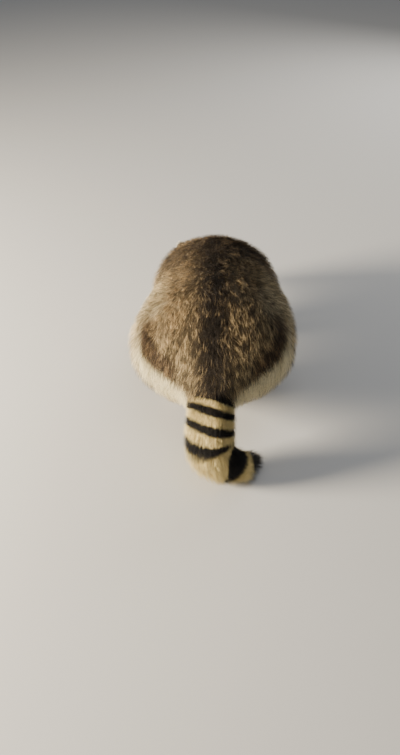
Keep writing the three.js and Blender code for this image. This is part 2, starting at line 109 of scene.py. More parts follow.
def softbox(name, at, aim, across, power, tone):
    """A round lamp at a place, turned to face another."""
    lamp = bpy.data.lights.new(name, "AREA")
    lamp.shape = "DISK"
    lamp.size, lamp.energy, lamp.color = across, power, tone
    stand = bpy.data.objects.new(name, lamp)
    bpy.context.collection.objects.link(stand)
    stand.location = at
    stand.rotation_euler = (Vector(aim) - Vector(at)).to_track_quat("-Z", "Y").to_euler()


softbox("key_softbox", (2.45, 0.55, 0.70), (0, 0, 0.15), 0.8, 325, (1.0, 0.88, 0.70))
softbox("top_softbox", (-0.3, 0.2, 2.6), (0, 0, 0.1), 1.6, 7, (0.95, 0.97, 1.0))
softbox("front_softbox", (-1.4, -2.2, 1.4), (0, -0.2, 0.12), 1.4, 30, (1.0, 0.97, 0.93))

CAMERA_AZIMUTH, CAMERA_HEIGHT, CAMERA_AWAY = 180, 38, 1.30
SENSOR, FOCAL_PIXELS, FRAME_HIGH = 36.0, 604.0, 755
AIM_PIXEL, FRAME_MIDDLE = (213, 332), (200, 377.5)
AIM_POINT = Vector((0, 0.0383, 0.15))
turn, tilt = math.radians(CAMERA_AZIMUTH), math.radians(CAMERA_HEIGHT)
back = Vector((math.sin(turn) * math.cos(tilt), -math.cos(turn) * math.cos(tilt), math.sin(tilt)))
camera_data = bpy.data.cameras.new("camera")
camera_data.sensor_width, camera_data.sensor_fit = SENSOR, "AUTO"
camera_data.lens = FOCAL_PIXELS / FRAME_HIGH * SENSOR
camera = bpy.data.objects.new("camera", camera_data)
bpy.context.collection.objects.link(camera)
camera.location = AIM_POINT + back * CAMERA_AWAY
off_x = (AIM_PIXEL[0] - FRAME_MIDDLE[0]) / FOCAL_PIXELS
off_y = (FRAME_MIDDLE[1] - AIM_PIXEL[1]) / FOCAL_PIXELS
camera.rotation_mode = "QUATERNION"
straight = (-back).to_track_quat("-Z", "Y")
swing = Vector((0, 0, -1)).rotation_difference(Vector((off_x, off_y, -1)).normalized())
camera.rotation_quaternion = straight @ swing.inverted()
bpy.context.scene.camera = camera


# ------------------------------------------------------------------ skin
# The tanned hide, drawn in one piece over the body form from lips to tail
# tip. It lies below the tips of the coat by the coat's own depth, and it is
# bare only at the lids, lips, nostril edges and the soles.
VOXEL = 0.0042
MERGE_GAP, FATTEN = 0.00002, 0.0005
FILL = [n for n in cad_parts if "claw" not in n]
FLESH = [n for n in FILL if n != "nose" and not n.startswith("eye")]


def select_only(piece):
    bpy.ops.object.select_all(action="DESELECT")
    piece.select_set(True)
    bpy.context.view_layer.objects.active = piece


def copy_solid(name):
    """A free copy of one of the frame's solids, left selected."""
    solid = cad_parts[name].copy()
    solid.data = solid.data.copy()
    solid.parent = None
    solid.hide_render = solid.hide_viewport = False
    bpy.context.collection.objects.link(solid)
    solid.select_set(True)
    return solid


def turn_faces_out(merge=0, fatten=0):
    """Merges the doubles of what is selected, turns its faces outwards and fattens it."""
    bpy.ops.object.mode_set(mode="EDIT")
    bpy.ops.mesh.select_all(action="SELECT")
    if merge:
        bpy.ops.mesh.remove_doubles(threshold=merge)
    bpy.ops.mesh.normals_make_consistent(inside=False)
    if fatten:
        bpy.ops.transform.shrink_fatten(value=fatten)
    bpy.ops.object.mode_set(mode="OBJECT")


def join_copies(copies, name):
    """Joins the selected copies into one bare piece."""
    bpy.context.view_layer.objects.active = copies[0]
    bpy.ops.object.join()
    piece = bpy.context.object
    piece.name = piece.data.name = name
    for key in list(piece.keys()):
        del piece[key]
    piece.data.materials.clear()
    return piece


bpy.ops.object.select_all(action="DESELECT")
forms = [copy_solid(name) for name in FILL]
bpy.context.view_layer.objects.active = forms[0]
turn_faces_out(MERGE_GAP, FATTEN)
skin = join_copies(forms, "skin")
hide_mesh = skin.data
remesh = skin.modifiers.new("one_hide", "REMESH")
remesh.mode, remesh.voxel_size, remesh.adaptivity = "VOXEL", VOXEL, 0
bpy.ops.object.modifier_apply(modifier="one_hide")


def read(items, what, width, kind=float):
    """One property of all the points, edges or faces of a mesh, in rows."""
    flat = np.empty(len(items) * width, dtype=kind)
    items.foreach_get(what, flat)
    return flat.reshape(-1, width)


def points_of(mesh):
    return read(mesh.vertices, "co", 3)


def normals_of(mesh):
    return read(mesh.vertex_normals, "vector", 3)


def edges_of(mesh):
    return read(mesh.edges, "vertices", 2, np.int32)


def set_points(mesh, points):
    mesh.vertices.foreach_set("co", np.ascontiguousarray(points, dtype=np.float32).ravel())
    mesh.update()


def spread(values, edges, rounds, share=0.5):
    """Evens out a value, or several, over the skin along its edges."""
    values = np.array(values, dtype=float)
    columns = values.reshape(len(values), -1)
    share = np.broadcast_to(np.asarray(share, dtype=float).reshape(-1, 1), (len(values), 1))
    a, b = edges.T
    many = np.bincount(np.concatenate([a, b]), minlength=len(values)).clip(1)[:, None]
    for _ in range(rounds):
        total = np.empty_like(columns)
        for c, column in enumerate(columns.T):
            total[:, c] = np.bincount(a, column[b], len(values)) + np.bincount(b, column[a], len(values))
        columns = columns + share * (total / many - columns)
    return columns.reshape(values.shape)


def soft(value, low, high):
    """0 at low, 1 at high, and smooth between them."""
    t = np.clip((value - low) / (high - low), 0, 1)
    return t * t * (3 - 2 * t)


def bell(value, width):
    """1 where the value is 0, falling smoothly to nothing on both sides."""
    return np.exp(-(value / width) ** 2)


def middle(node):
    low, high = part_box(node)
    return (np.array(low) + np.array(high)) / 2


def one_long(vector):
    return vector / np.linalg.norm(vector)


# the head's own axes, in millimetres: its left, its back and its top
HEAD_TURN, HEAD_DROP = math.radians(12), math.radians(30)
EYE_BACK, EYE_UP, EYE_SIDE = -45.5, 4.5, 22.5
NOSE_IN_HEAD = np.array((0, -95.0, -11.0))
head_left = np.array((math.cos(HEAD_TURN), math.sin(HEAD_TURN), 0))
head_back = -np.array((
    math.sin(HEAD_TURN) * math.cos(HEAD_DROP),
    -math.cos(HEAD_TURN) * math.cos(HEAD_DROP),
    -math.sin(HEAD_DROP),
))
head_top = np.cross(head_left, head_back)
HEAD_AXES = np.array((head_left, head_back, head_top))
between_eyes = (middle("eye_left") + middle("eye_right")) / 2
head_middle = between_eyes - HEAD_AXES.T @ np.array((0, EYE_BACK, EYE_UP)) / 1000


def in_head(points):
    return (points - head_middle) @ HEAD_AXES.T * 1000


def from_head(places):
    return places @ HEAD_AXES / 1000 + head_middle


# which part of the body each point of the hide belongs to
PARTS = ["trunk", "neck", "head", "muzzle", "ear", "fore_leg", "hind_leg", "fore_paw", "hind_paw", "tail"]
TRUNK, NECK, HEAD, MUZZLE, EAR, FORE_LEG, HIND_LEG, FORE_PAW, HIND_PAW, TAIL = range(len(PARTS))


def part_of(node):
    node = {"eye_left": "head", "eye_right": "head", "nose": "muzzle"}.get(node, node)
    return next(i for i, p in enumerate(PARTS) if node.startswith(p))


corners, faces, owner = [], [], []
for name in FILL:
    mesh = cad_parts[name].data
    start = len(corners)
    corners += [v.co.copy() for v in mesh.vertices]
    faces += [[start + i for i in p.vertices] for p in mesh.polygons]
    owner += [part_of(name)] * len(mesh.polygons)
solid_surface = BVHTree.FromPolygons(corners, faces)


def part_shares(points, edges, rounds):
    """How far each point belongs to each part, blended where parts meet."""
    nearest = [owner[solid_surface.find_nearest(Vector(p))[2]] for p in points]
    return spread(np.eye(len(PARTS))[nearest], edges, rounds)


def mix_parts(share_of, **values):
    """Mixes what is given for each part, where leg and paw stand for fore and hind alike."""
    given = [values.get(part, values.get(part[5:])) for part in PARTS]
    columns = [np.broadcast_to(value, len(share_of)) for value in given]
    return (share_of * np.stack(columns, axis=1)).sum(1)


# how much each part is evened out: the broad forms much, face and feet little
EVENING_ROUNDS = 46
points, edges = points_of(hide_mesh), edges_of(hide_mesh)
share_of = part_shares(points, edges, 10)
evening = mix_parts(
    share_of, trunk=0.62, neck=0.62, head=0.34, muzzle=0.10, ear=0.10,
    fore_leg=0.35, hind_leg=0.5, paw=0.06, tail=0.3,
)
points = spread(points, edges, EVENING_ROUNDS, evening)

# the hide is sunk by the coat's depth, in millimetres, by part and by place on it
SINKING_STEPS = 6
h = in_head(points)
jowl_depth = 6.5 * soft(np.abs(h[:, 0]), 46, 76) * soft(-h[:, 2], -20, 20)
head_depth = 2.0 + 2.6 * soft(h[:, 1], -50, -5) + jowl_depth
leg_depth = 2.6 + 9.0 * soft(points[:, 2] * 1000, 35, 130)
depth = mix_parts(
    share_of, trunk=12.0, neck=11.0, head=head_depth, muzzle=1.3, ear=1.3,
    leg=leg_depth, paw=1.2, tail=13.0,
)
depth = spread(depth, edges, 8)
for _ in range(SINKING_STEPS):
    set_points(hide_mesh, points)
    points = points - normals_of(hide_mesh) * (depth / SINKING_STEPS / 1000)[:, None]
    points = spread(points, edges, 2, np.clip(evening, 0.05, 0.5) * np.clip(depth / 6, 0.15, 1))
set_points(hide_mesh, points)


# finer faces where the face and the paws have their detail
def refine(chosen):
    """Divides each face of the hide whose middle is chosen."""
    select_only(skin)
    bpy.ops.object.mode_set(mode="EDIT")
    bpy.ops.mesh.select_all(action="DESELECT")
    bpy.ops.object.mode_set(mode="OBJECT")
    hide_mesh.polygons.foreach_set("select", chosen(read(hide_mesh.polygons, "center", 3)))
    bpy.ops.object.mode_set(mode="EDIT")
    bpy.ops.mesh.select_mode(type="FACE")
    bpy.ops.mesh.subdivide(number_cuts=1, smoothness=0)
    bpy.ops.object.mode_set(mode="OBJECT")


def within(low, high, mirrored=0.0):
    """Chooses a box of the head, in millimetres, or with mirrored one as far out on each side."""
    def chosen(centres):
        c = in_head(centres)
        c[:, 0] = np.abs(np.abs(c[:, 0]) - mirrored)
        return ((c > low) & (c < high)).all(1)
    return chosen


PAWS = ["fore_paw_left", "fore_paw_right", "hind_paw_left", "hind_paw_right"]
PAW_MARGIN, TOES_DEEP = 0.003, 0.032


def near_paws(toes_only=False):
    """Chooses what lies at the paws, or only at their toes."""
    def chosen(centres):
        found = np.zeros(len(centres), dtype=bool)
        for paw in PAWS:
            low, high = (np.array(c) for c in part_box(paw))
            if toes_only:
                high[1] = low[1] + TOES_DEEP
            found |= ((centres > low - PAW_MARGIN) & (centres < high + PAW_MARGIN)).all(1)
        return found
    return chosen


refine(within((-1, -110, -48), (48, -25, 32)))
refine(within((-1, -66, EYE_UP - 14), (15, -30, EYE_UP + 14), EYE_SIDE))
refine(within((-1, -110, -36), (26, -48, -12)))
refine(near_paws())
refine(near_paws(toes_only=True))

# the toes: the hide dips between them, from the knuckles to the claws
KNUCKLE_BACK, TOE_GAP, WEB_LOW, WEB_BACK = 36.0, 2.7, 0.62, 0.11
points = points_of(hide_mesh)
for paw in PAWS:
    low, high = (np.array(c) * 1000 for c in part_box(paw))
    toes = [middle(paw.replace("paw", "claw") + f"_{k}")[:2] * 1000 for k in range(1, 6)]
    hub = np.mean(toes, axis=0) + (0, KNUCKLE_BACK)
    p = points * 1000
    inside = ((p > low - 4) & (p < high + 4)).all(1)
    gaps, progress = [], []
    for toe in toes:
        run = toe - hub
        t = np.clip((p[:, :2] - hub) @ run / (run @ run), 0, 1.2)
        gaps.append(np.linalg.norm(p[:, :2] - hub - t[:, None] * run, axis=1))
        progress.append(t)
    progress = np.array(progress).max(0)
    nearest = np.sort(gaps, axis=0)
    web = bell(nearest[1] - nearest[0], TOE_GAP) * soft(progress, 0.30, 0.70) * inside
    p[:, 2] *= 1 - WEB_LOW * web
    p[:, :2] += (hub - p[:, :2]) * (WEB_BACK * web * progress)[:, None]
    points = p / 1000
points = spread(points, edges_of(hide_mesh), 3, 0.4 * near_paws()(points))
set_points(hide_mesh, points)

# sockets and lids: the hide dips round each eye and leaves an almond opening
EYE_RADIUS, LID_THICK, LID_CREASE, CREASE_AT = 8.4, 1.0, 0.55, 1.55
SOCKET_REACH, BEHIND_LIDS = 18, 2.2
OPEN_WIDE, OPEN_HIGH, OPEN_TILT, OPEN_POWER = 0.88, 0.70, math.radians(9), 1.7
tilt_cos, tilt_sin = math.cos(OPEN_TILT), math.sin(OPEN_TILT)


def eye_axes(side):
    """An eye's middle in the head, and its own directions: out, across and upward."""
    out = one_long(np.array((side * 0.50, -0.84, 0.20)))
    across = one_long(np.cross(out, (0, 0, 1.0)) * -side)
    upward = np.cross(across, out) * side
    return np.array((side * EYE_SIDE, EYE_BACK, EYE_UP)), out, across, upward * np.sign(upward[2])


points = points_of(hide_mesh)
h = in_head(points)
bare = np.zeros(len(h))
for side in (1, -1):
    centre, out, across, upward = eye_axes(side)
    ray = h - centre
    reach = np.linalg.norm(ray, axis=1)
    ray /= reach[:, None]
    wide, high = np.arctan2(ray @ across, ray @ out), np.arctan2(ray @ upward, ray @ out)
    along = (wide * tilt_cos + high * tilt_sin) / OPEN_WIDE
    over = (high * tilt_cos - wide * tilt_sin) / OPEN_HIGH
    ring = np.sqrt(np.abs(along) ** OPEN_POWER + over ** 2)
    near = (reach < SOCKET_REACH) & (ray @ out > 0.15)
    lid = EYE_RADIUS + LID_THICK - LID_CREASE * bell(ring - CREASE_AT, 0.14) * (over > 0)
    socket = lid + (reach - lid) * soft(ring, 1.15, 2.3)
    wanted = np.where(ring < 1.0, EYE_RADIUS - BEHIND_LIDS, socket)
    h = np.where(near[:, None], centre + ray * wanted[:, None], h)
    bare = np.maximum(bare, near * soft(-ring, -1.32, -1.10))

# the mouth: a groove from under the nose to its corner, and a jaw set back
JAW_BACK, JAW_NARROW, GROOVE_DEEP, PHILTRUM_DEEP, PAD_RISE = 5.0, 0.10, 1.7, 0.9, 1.3
mouth_line = np.interp(h[:, 1], (-97, -90, -80, -66, -52), (-19.5, -21.5, -24, -26.5, -26))
in_mouth = soft(-h[:, 1], 50, 54) * (np.abs(h[:, 0]) < 24)
below = (mouth_line - h[:, 2]) * in_mouth
h[:, 1] += JAW_BACK * soft(below, 0.2, 3.5) * soft(-h[:, 1], 76, 94)
h[:, 0] *= 1 - JAW_NARROW * soft(below, 0.2, 3.5)
groove = bell(h[:, 2] - mouth_line, 1.15) * in_mouth
outward = normals_of(hide_mesh) @ HEAD_AXES.T
h -= outward * (GROOVE_DEEP * groove)[:, None]
upper_lip = (h[:, 2] > mouth_line) * (h[:, 2] < -12)
philtrum = bell(h[:, 0], 0.9) * upper_lip * soft(-h[:, 1], 84, 90)
h -= outward * (PHILTRUM_DEEP * philtrum)[:, None]
from_pad = (np.abs(h[:, 0]) - 13, h[:, 1] + 82, h[:, 2] + 15)
pad = np.exp(-((from_pad[0] / 8) ** 2 + (from_pad[1] / 9) ** 2 + (from_pad[2] / 8) ** 2))
h += outward * (PAD_RISE * pad)[:, None]
NOSE_SIZE = np.array((9.5, 7.5, 7.0))
nose_gap = np.linalg.norm((h - NOSE_IN_HEAD) / NOSE_SIZE, axis=1)
bare = np.maximum(bare, 0.95 * soft(groove, 0.45, 0.9))
bare = np.maximum(bare, soft(-nose_gap, -1.22, -1.05))
set_points(hide_mesh, from_head(h))

# the lids' rims: a soft dark bead round each opening
RIM_THICK, RIM_LIFT, RIM_STEPS, RIM_SIDES = 0.75, 0.35, 56, 8


def ring_round(centre, half, one_way, other_way, sides):
    """The points of a ring round a centre."""
    turns = [2 * math.pi * j / sides for j in range(sides)]
    return [centre + half * (math.cos(t) * one_way + math.sin(t) * other_way) for t in turns]


def tube_faces(first, steps, sides, closed):
    """The faces of a tube from ring to ring of its points, its ends joined or capped."""
    found = []
    for k in range(steps if closed else steps - 1):
        a, b = first + k * sides, first + (k + 1) % steps * sides
        for j in range(sides):
            i = (j + 1) % sides
            found.append((a + j, a + i, b + i, b + j))
    if not closed:
        last = first + (steps - 1) * sides
        found.append(tuple(first + j for j in reversed(range(sides))))
        found.append(tuple(last + j for j in range(sides)))
    return found


def new_piece(name, points, faces):
    """A piece from its points and faces, turned out and selected alone."""
    mesh = bpy.data.meshes.new(name)
    mesh.from_pydata([tuple(p) for p in points], [], faces)
    piece = bpy.data.objects.new(name, mesh)
    bpy.context.collection.objects.link(piece)
    select_only(piece)
    turn_faces_out()
    return piece


for side in (1, -1):
    centre, out, across, upward = eye_axes(side)
    round_the_eye = []
    for k in range(RIM_STEPS):
        turn = 2 * math.pi * k / RIM_STEPS
        along = math.copysign(abs(math.cos(turn)) ** (2 / OPEN_POWER), math.cos(turn)) * OPEN_WIDE
        over = math.sin(turn) * OPEN_HIGH
        wide, high = along * tilt_cos - over * tilt_sin, along * tilt_sin + over * tilt_cos
        ray = out + across * math.tan(wide) + upward * math.tan(high)
        round_the_eye.append(centre + one_long(ray) * (EYE_RADIUS + RIM_LIFT))
    rim_points = []
    for k, p in enumerate(round_the_eye):
        run = one_long(round_the_eye[(k + 1) % RIM_STEPS] - round_the_eye[k - 1])
        up = one_long(p - centre)
        rim_points += ring_round(p, RIM_THICK, up, one_long(np.cross(run, up)), RIM_SIDES)
    new_piece("lid_rim", from_head(np.array(rim_points)), tube_faces(0, RIM_STEPS, RIM_SIDES, closed=True))
    skin.select_set(True)
    bpy.context.view_layer.objects.active = skin
    bpy.ops.object.join()
bare = np.concatenate([bare, np.ones(len(hide_mesh.vertices) - len(bare))])

# the hide laid out flat, piece by piece, as the map that its colours bake to
MAP_ANGLE, MAP_GAP = math.radians(70), 0.004
select_only(skin)
hide_mesh.uv_layers.new(name="OFBake")
bpy.ops.object.mode_set(mode="EDIT")
bpy.ops.mesh.select_all(action="SELECT")
bpy.ops.uv.smart_project(angle_limit=MAP_ANGLE, island_margin=MAP_GAP)
bpy.ops.object.mode_set(mode="OBJECT")
bpy.ops.object.shade_smooth()

# what the parts are once more, for the finished hide
points, edges = points_of(hide_mesh), edges_of(hide_mesh)
share_of = part_shares(points, edges, 5)

# the line that the tail follows: the middle of each of its solids, and how far along
BANDS = (11, 10, 12, 15, 14, 23, 18, 40, 28, 16, 26)
BEFORE, AFTER = 60.0, 40.0
tail_nodes = sorted(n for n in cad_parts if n.startswith("tail"))
tail_line = [points_of(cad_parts[n].data).mean(0) * 1000 for n in tail_nodes]
ends = np.cumsum(BANDS)
tail_at = list(ends - np.array(BANDS) / 2)
ahead_of_root = tail_line[0] - one_long(tail_line[1] - tail_line[0]) * BEFORE
past_the_tip = tail_line[-1] + one_long(tail_line[-1] - tail_line[-2]) * AFTER
tail_line = [ahead_of_root] + tail_line + [past_the_tip]
tail_at = [tail_at[0] - BEFORE] + tail_at + [tail_at[-1] + AFTER]


def along_tail(points):
    """How far along the tail each point is, in millimetres, and which way the tail runs there."""
    best = np.full(len(points), np.inf)
    where, way = np.zeros(len(points)), np.zeros((len(points), 3))
    for a, b, at_a, at_b in zip(tail_line, tail_line[1:], tail_at, tail_at[1:]):
        run = b - a
        t = np.clip((points * 1000 - a) @ run / (run @ run), 0, 1)
        gap = np.linalg.norm(points * 1000 - a - t[:, None] * run, axis=1)
        closer = gap < best
        best = np.where(closer, gap, best)
        where = np.where(closer, at_a + t * (at_b - at_a), where)
        way = np.where(closer[:, None], one_long(run), way)
    return where, way


# the rings of colour, pale and dark by turns, as lengths of the tail
RINGS = (11, 10, 12, 15, 14, 17.5, 17, 46.5, 28, 16, 26)
RING_LEAN = 0.20


def leaning_run(points, run):
    """The rings near the root lean a little to the right."""
    return run + RING_LEAN * points[:, 0] * 1000 * soft(-run, -118, -52)


def paint(red, green, blue):
    """A colour from a painter's 0 to 255 card, as light."""
    c = np.array((red, green, blue)) / 255
    return np.where(c <= 0.04045, c / 12.92, ((c + 0.055) / 1.055) ** 2.4)


def mottle(points, size, shift=0.0):
    """A cloudy value from -1 to 1 whose clouds are size millimetres apart."""
    return np.array([noise.noise(Vector(p)) for p in points * (1000 / size) + shift]) * 1.7


def over_layers(base, *layers):
    """Lays each (share, value) or (share, painter's colour) over what lies beneath it."""
    for share, value in layers:
        if isinstance(value, tuple):
            value = paint(*value)
        if base.ndim == 2:
            share = share[:, None]
        base = base * (1 - share) + value * share
    return base


def markings_and_painted_light(points, normals, share_of):
    """The coat's pattern, with painted light high on the flanks and painted shade along the spine: the share
    of dark hairs, the pale colour and the dark colour at each point.
    """
    x, y, z = (points * 1000).T
    up = normals[:, 2]
    side = np.abs(x)
    ones = np.ones(len(points))

    def plain(*tone):
        return np.tile(paint(*tone), (len(points), 1))

    # back, sides and belly: grizzled buff, a dark ridge that is partly painted shade, a paler upper flank
    # that is painted light, a pale rim under the haunches
    # the ridge down the spine is dark fur, made darker still as painted shade along the middle of the back
    ridge = bell(x, 37) * soft(up, -0.1, 0.6)
    saddle = soft(up, 0.35, 0.95)
    nape = soft(-y, 20, 90) * soft(up, 0.0, 0.6)
    belly = soft(-up, 0.25, 0.75)
    rim_height = 156 + 0.42 * (side - 50) + 0.40 * np.clip(180 - y, 0, 200)
    rear = soft(y, 105, 150)
    ragged = mottle(points, 16, 3.0) * 7
    rim_floor = rim_height - 62 + 30 * soft(-side, -60, -20)
    pale_rim = soft(y + ragged, 104, 172) * soft(rim_height + 5 + 0.4 * ragged - z, 0, 13)
    pale_rim *= soft(z + ragged, rim_floor - 26, rim_floor + 12)
    thigh = soft(y, 100, 140) * soft(side, 58, 88)
    thigh = thigh * soft(z - rim_height, -4, 8) * soft(rim_height + 52 - z, 0, 26)
    low_side = soft(-up, -0.40, 0.05) * (1 - 0.8 * rear) * (1 - belly) * (1 - pale_rim)
    # a paler, less flecked band high on each flank: painted light, as if a low lamp fell across the upper
    # flanks
    flank_painted_light = soft(side, 74, 108) * soft(z, 165, 205)
    flank_painted_light = flank_painted_light * soft(y, -60, 10) * soft(-y, -150, -105) * (1 - thigh)
    dark = over_layers(
        0.44 * ones,
        (0.55 * saddle, 0.50), (0.94 * ridge, 0.92), (0.6 * nape, 0.72), (0.9 * low_side, 0.70),
        (0.7 * flank_painted_light, 0.38), (belly, 0.22), (0.84 * thigh, 0.81), (pale_rim, 0.02),
    )
    pale = over_layers(
        plain(216, 193, 148),
        (0.5 * saddle, (208, 176, 128)), (0.8 * ridge, (118, 99, 72)),
        (0.6 * nape, (134, 112, 84)), (0.85 * low_side, (168, 147, 114)),
        (0.7 * flank_painted_light, (232, 216, 176)), (belly, (150, 128, 100)),
        (0.84 * thigh, (144, 116, 82)), (pale_rim, (250, 239, 202)),
    )
    deep = over_layers(
        plain(38, 32, 27),
        (0.8 * thigh, (62, 47, 35)), (0.8 * low_side, (34, 29, 25)), (belly, (70, 58, 46)),
    )

    # legs and paws
    leg = (share_of[:, FORE_LEG] + share_of[:, HIND_LEG]) * soft(-z, -150, -80) * (1 - 0.7 * pale_rim)
    paw = share_of[:, FORE_PAW] + share_of[:, HIND_PAW]
    dark = over_layers(dark, (leg, 0.62), (paw, 0.22))
    pale = over_layers(pale, (leg, (128, 110, 86)), (paw, (186, 174, 150)))
    deep = over_layers(deep, (leg, (44, 36, 30)), (paw, (92, 80, 66)))

    # head: a black mask under a white brow, white lips, a dark stripe up the nose
    h = in_head(points)
    hn = normals @ HEAD_AXES.T
    a = np.abs(h[:, 0])
    ahead, high = -h[:, 1], h[:, 2]
    head = np.clip(share_of[:, HEAD] + share_of[:, MUZZLE], 0, 1)
    out_from_nose = (0, 8, 16, 26, 40, 56, 72)
    mask_top = np.interp(a, out_from_nose, (14, 15, 19, 20, 10, -6, -26))
    mask_low = np.interp(a, out_from_nose, (2, -2, -8, -11, -22, -38, -56))
    front = soft(ahead, -6, 8)
    mask = soft(mask_top - high, -1.5, 2.0) * soft(high - mask_low, -1.5, 2.0)
    mask = mask * soft(ahead, -2, 10) * soft(76 - a, 0, 8) * soft(-ahead, -66, -58)
    brow = soft(mask_top + 13 - high, 0, 5) * soft(high - mask_top, -2, 1.5) * front * soft(a, 5, 10)
    cheek = np.maximum(soft(mask_low - high, -1.5, 2) * front, soft(ahead, 57, 64))
    stripe_half = np.interp(-ahead, (-92, -70, -45, -20, 10), (4.5, 6.5, 9, 6, 3))
    stripe = soft(stripe_half - a, -1.5, 2.0) * soft(hn[:, 2], 0.1, 0.5) * soft(ahead, -8, 12)
    chin = soft(-high, 26, 32) * soft(ahead, 10, 40)
    throat = soft(-hn[:, 2], 0.3, 0.7) * soft(-ahead, -35, -10)
    crown = soft(high, 20, 40)
    head_dark = over_layers(
        0.42 * ones, (crown, 0.55), (cheek, 0.05), (brow, 0.02), (chin, 0.05),
        (throat, 0.55), (mask, 0.98), (stripe, 0.95),
    )
    head_pale = over_layers(
        plain(182, 164, 134),
        (cheek, (240, 232, 214)), (brow, (248, 243, 230)), (chin, (236, 228, 208)),
        (throat, (130, 108, 84)), (mask, (60, 50, 42)), (stripe, (80, 66, 54)),
    )
    head_deep = over_layers(plain(36, 31, 27), (mask, (17, 14, 13)), (stripe, (24, 19, 17)))

    # ears: a white rim round a grey front, dark behind
    ear = share_of[:, EAR]
    ear_high = ((a - 52) * 0.53 + (high - 47) * 0.85) / 30
    ear_wide = ((a - 52) * 0.85 - (high - 47) * 0.53) / 21
    behind = soft(hn[:, 1], -0.1, 0.4)
    ear_rim = soft(np.hypot(np.clip(ear_high, 0, 2), ear_wide), 0.70, 0.90) * soft(ear_high, -0.5, 0.0)
    ear_dark = over_layers(0.40 * ones, (behind, 0.86), (ear_rim, 0.03))
    ear_pale = over_layers(
        plain(182, 168, 144), (behind, (112, 98, 80)), (ear_rim, (244, 238, 222)),
    )
    dark = over_layers(dark, (head, head_dark), (ear, ear_dark))
    pale = over_layers(pale, (head, head_pale), (ear, ear_pale))
    deep = over_layers(deep, (head, head_deep), (ear, (28, 24, 22)))
    return np.clip(dark, 0, 1), pale, deep


def unit(rows):
    """Each row made one long."""
    return rows / (np.linalg.norm(rows, axis=1)[:, None] + 1e-9)


# which way the hair lies, by part, then evened out over the hide
normals = normals_of(hide_mesh)
tail_run, tail_way = along_tail(points)
h = in_head(points)
x, y, z = (points * 1000).T
n = len(points)
none, full = np.zeros(n), np.ones(n)
rump_fall = soft(y, 110, 235)
body_fall = -0.22 - 0.25 * np.abs(x) / 170 - 0.75 * rump_fall
radial = np.stack([h[:, 0], none, h[:, 2]], axis=1)
radial /= np.linalg.norm(radial, axis=1)[:, None] + 1e-6
cheek_fall = np.array((0, 0, -0.35)) * soft(np.abs(h[:, 0]), 30, 70)[:, None]
face_way = np.array((0, 1.0, 0)) + 0.30 * radial + cheek_fall
for side in (1, -1):
    away = h - np.array((side * EYE_SIDE, EYE_BACK, EYE_UP))
    gap = np.linalg.norm(away, axis=1)
    face_way += 1.3 * bell(gap - 8, 6)[:, None] * away / (gap[:, None] + 1e-6)
ways = np.zeros((n, len(PARTS), 3))
ways[:, TRUNK] = np.stack([0.10 * np.sign(x) * rump_fall, 1 - 0.55 * rump_fall, body_fall], axis=1)
ways[:, NECK] = (0, 1, -0.12)
ways[:, HEAD] = ways[:, MUZZLE] = face_way @ HEAD_AXES
ways[:, EAR] = np.stack([0.45 * np.sign(h[:, 0]), 0.10 * full, full], axis=1) @ HEAD_AXES
ways[:, FORE_LEG] = ways[:, HIND_LEG] = (0, 0.18, -1)
ways[:, FORE_PAW] = ways[:, HIND_PAW] = (0, -1, -0.35)
ways[:, TAIL] = tail_way
way = spread((share_of[:, :, None] * ways).sum(1), edges, 5)

# a grain that runs with the hair on head and legs: a place counted across the lie and along it
GRAIN_STRETCH = 0.16
flat_way = unit(way - (way * normals).sum(1)[:, None] * normals)
on_the_head = share_of[:, HEAD:FORE_LEG].sum(1) > 0.3
from_centre = points - np.where(on_the_head[:, None], head_middle, points)
paw_middles = np.array([middle(paw) for paw in PAWS])
nearest_paw = np.linalg.norm(points[:, None, :2] - paw_middles[None, :, :2], axis=2).argmin(1)
on_a_leg = share_of[:, FORE_LEG:TAIL].sum(1) > 0.5
from_centre[on_a_leg] = (points - paw_middles[nearest_paw])[on_a_leg]
across_lie = (from_centre * np.cross(flat_way, normals)).sum(1)
along_lie = (from_centre * flat_way).sum(1) * GRAIN_STRETCH
hair_map = np.stack([across_lie, along_lie, none], axis=1)
uncombed = np.linalg.norm(from_centre, axis=1) == 0
hair_map[uncombed] = points[uncombed]

# the colours of the hide and short under-fur: the coat's own colours, darkened as painted shade from the coat
# lying over it
HIDE_SHADE = 0.62
dark, pale, deep = markings_and_painted_light(points, normals, share_of)
clouds = 0.5 + 0.5 * np.clip(mottle(points, 9), -1, 1)
dark_here = np.clip(dark + (clouds - 0.5) * 0.5 * dark * (1 - dark) * 4, 0, 1)[:, None]
tail_share = np.clip(share_of[:, TAIL], 0, 1)
on_paws = share_of[:, FORE_PAW] + share_of[:, HIND_PAW]
bare = np.maximum(bare, on_paws * soft(-normals[:, 2], 0.55, 0.8))


def store(mesh, name, values):
    """Writes one number, one colour or one place for each point of a mesh."""
    values = np.asarray(values, dtype=np.float32)
    kind, field = "FLOAT", "value"
    if name == "hair_map":
        kind, field = "FLOAT_VECTOR", "vector"
    elif values.ndim == 2:
        kind, field = "FLOAT_COLOR", "color"
        values = np.c_[values, np.ones(len(values))]
    layer = mesh.attributes.new(name, kind, "POINT")
    layer.data.foreach_set(field, np.ascontiguousarray(values, dtype=np.float32).ravel())


# painted shade: the hide's colours, and its 'shade' for the tail's rings, are darkened where the coat lies
# over it
store(hide_mesh, "fur_colour", (pale * (1 - dark_here) + deep * dark_here) * HIDE_SHADE)
store(hide_mesh, "tail_run", leaning_run(points, tail_run))
store(hide_mesh, "tail_share", tail_share)
store(hide_mesh, "bare", bare)
store(hide_mesh, "hair_map", hair_map)
store(hide_mesh, "shade", np.full(n, HIDE_SHADE))

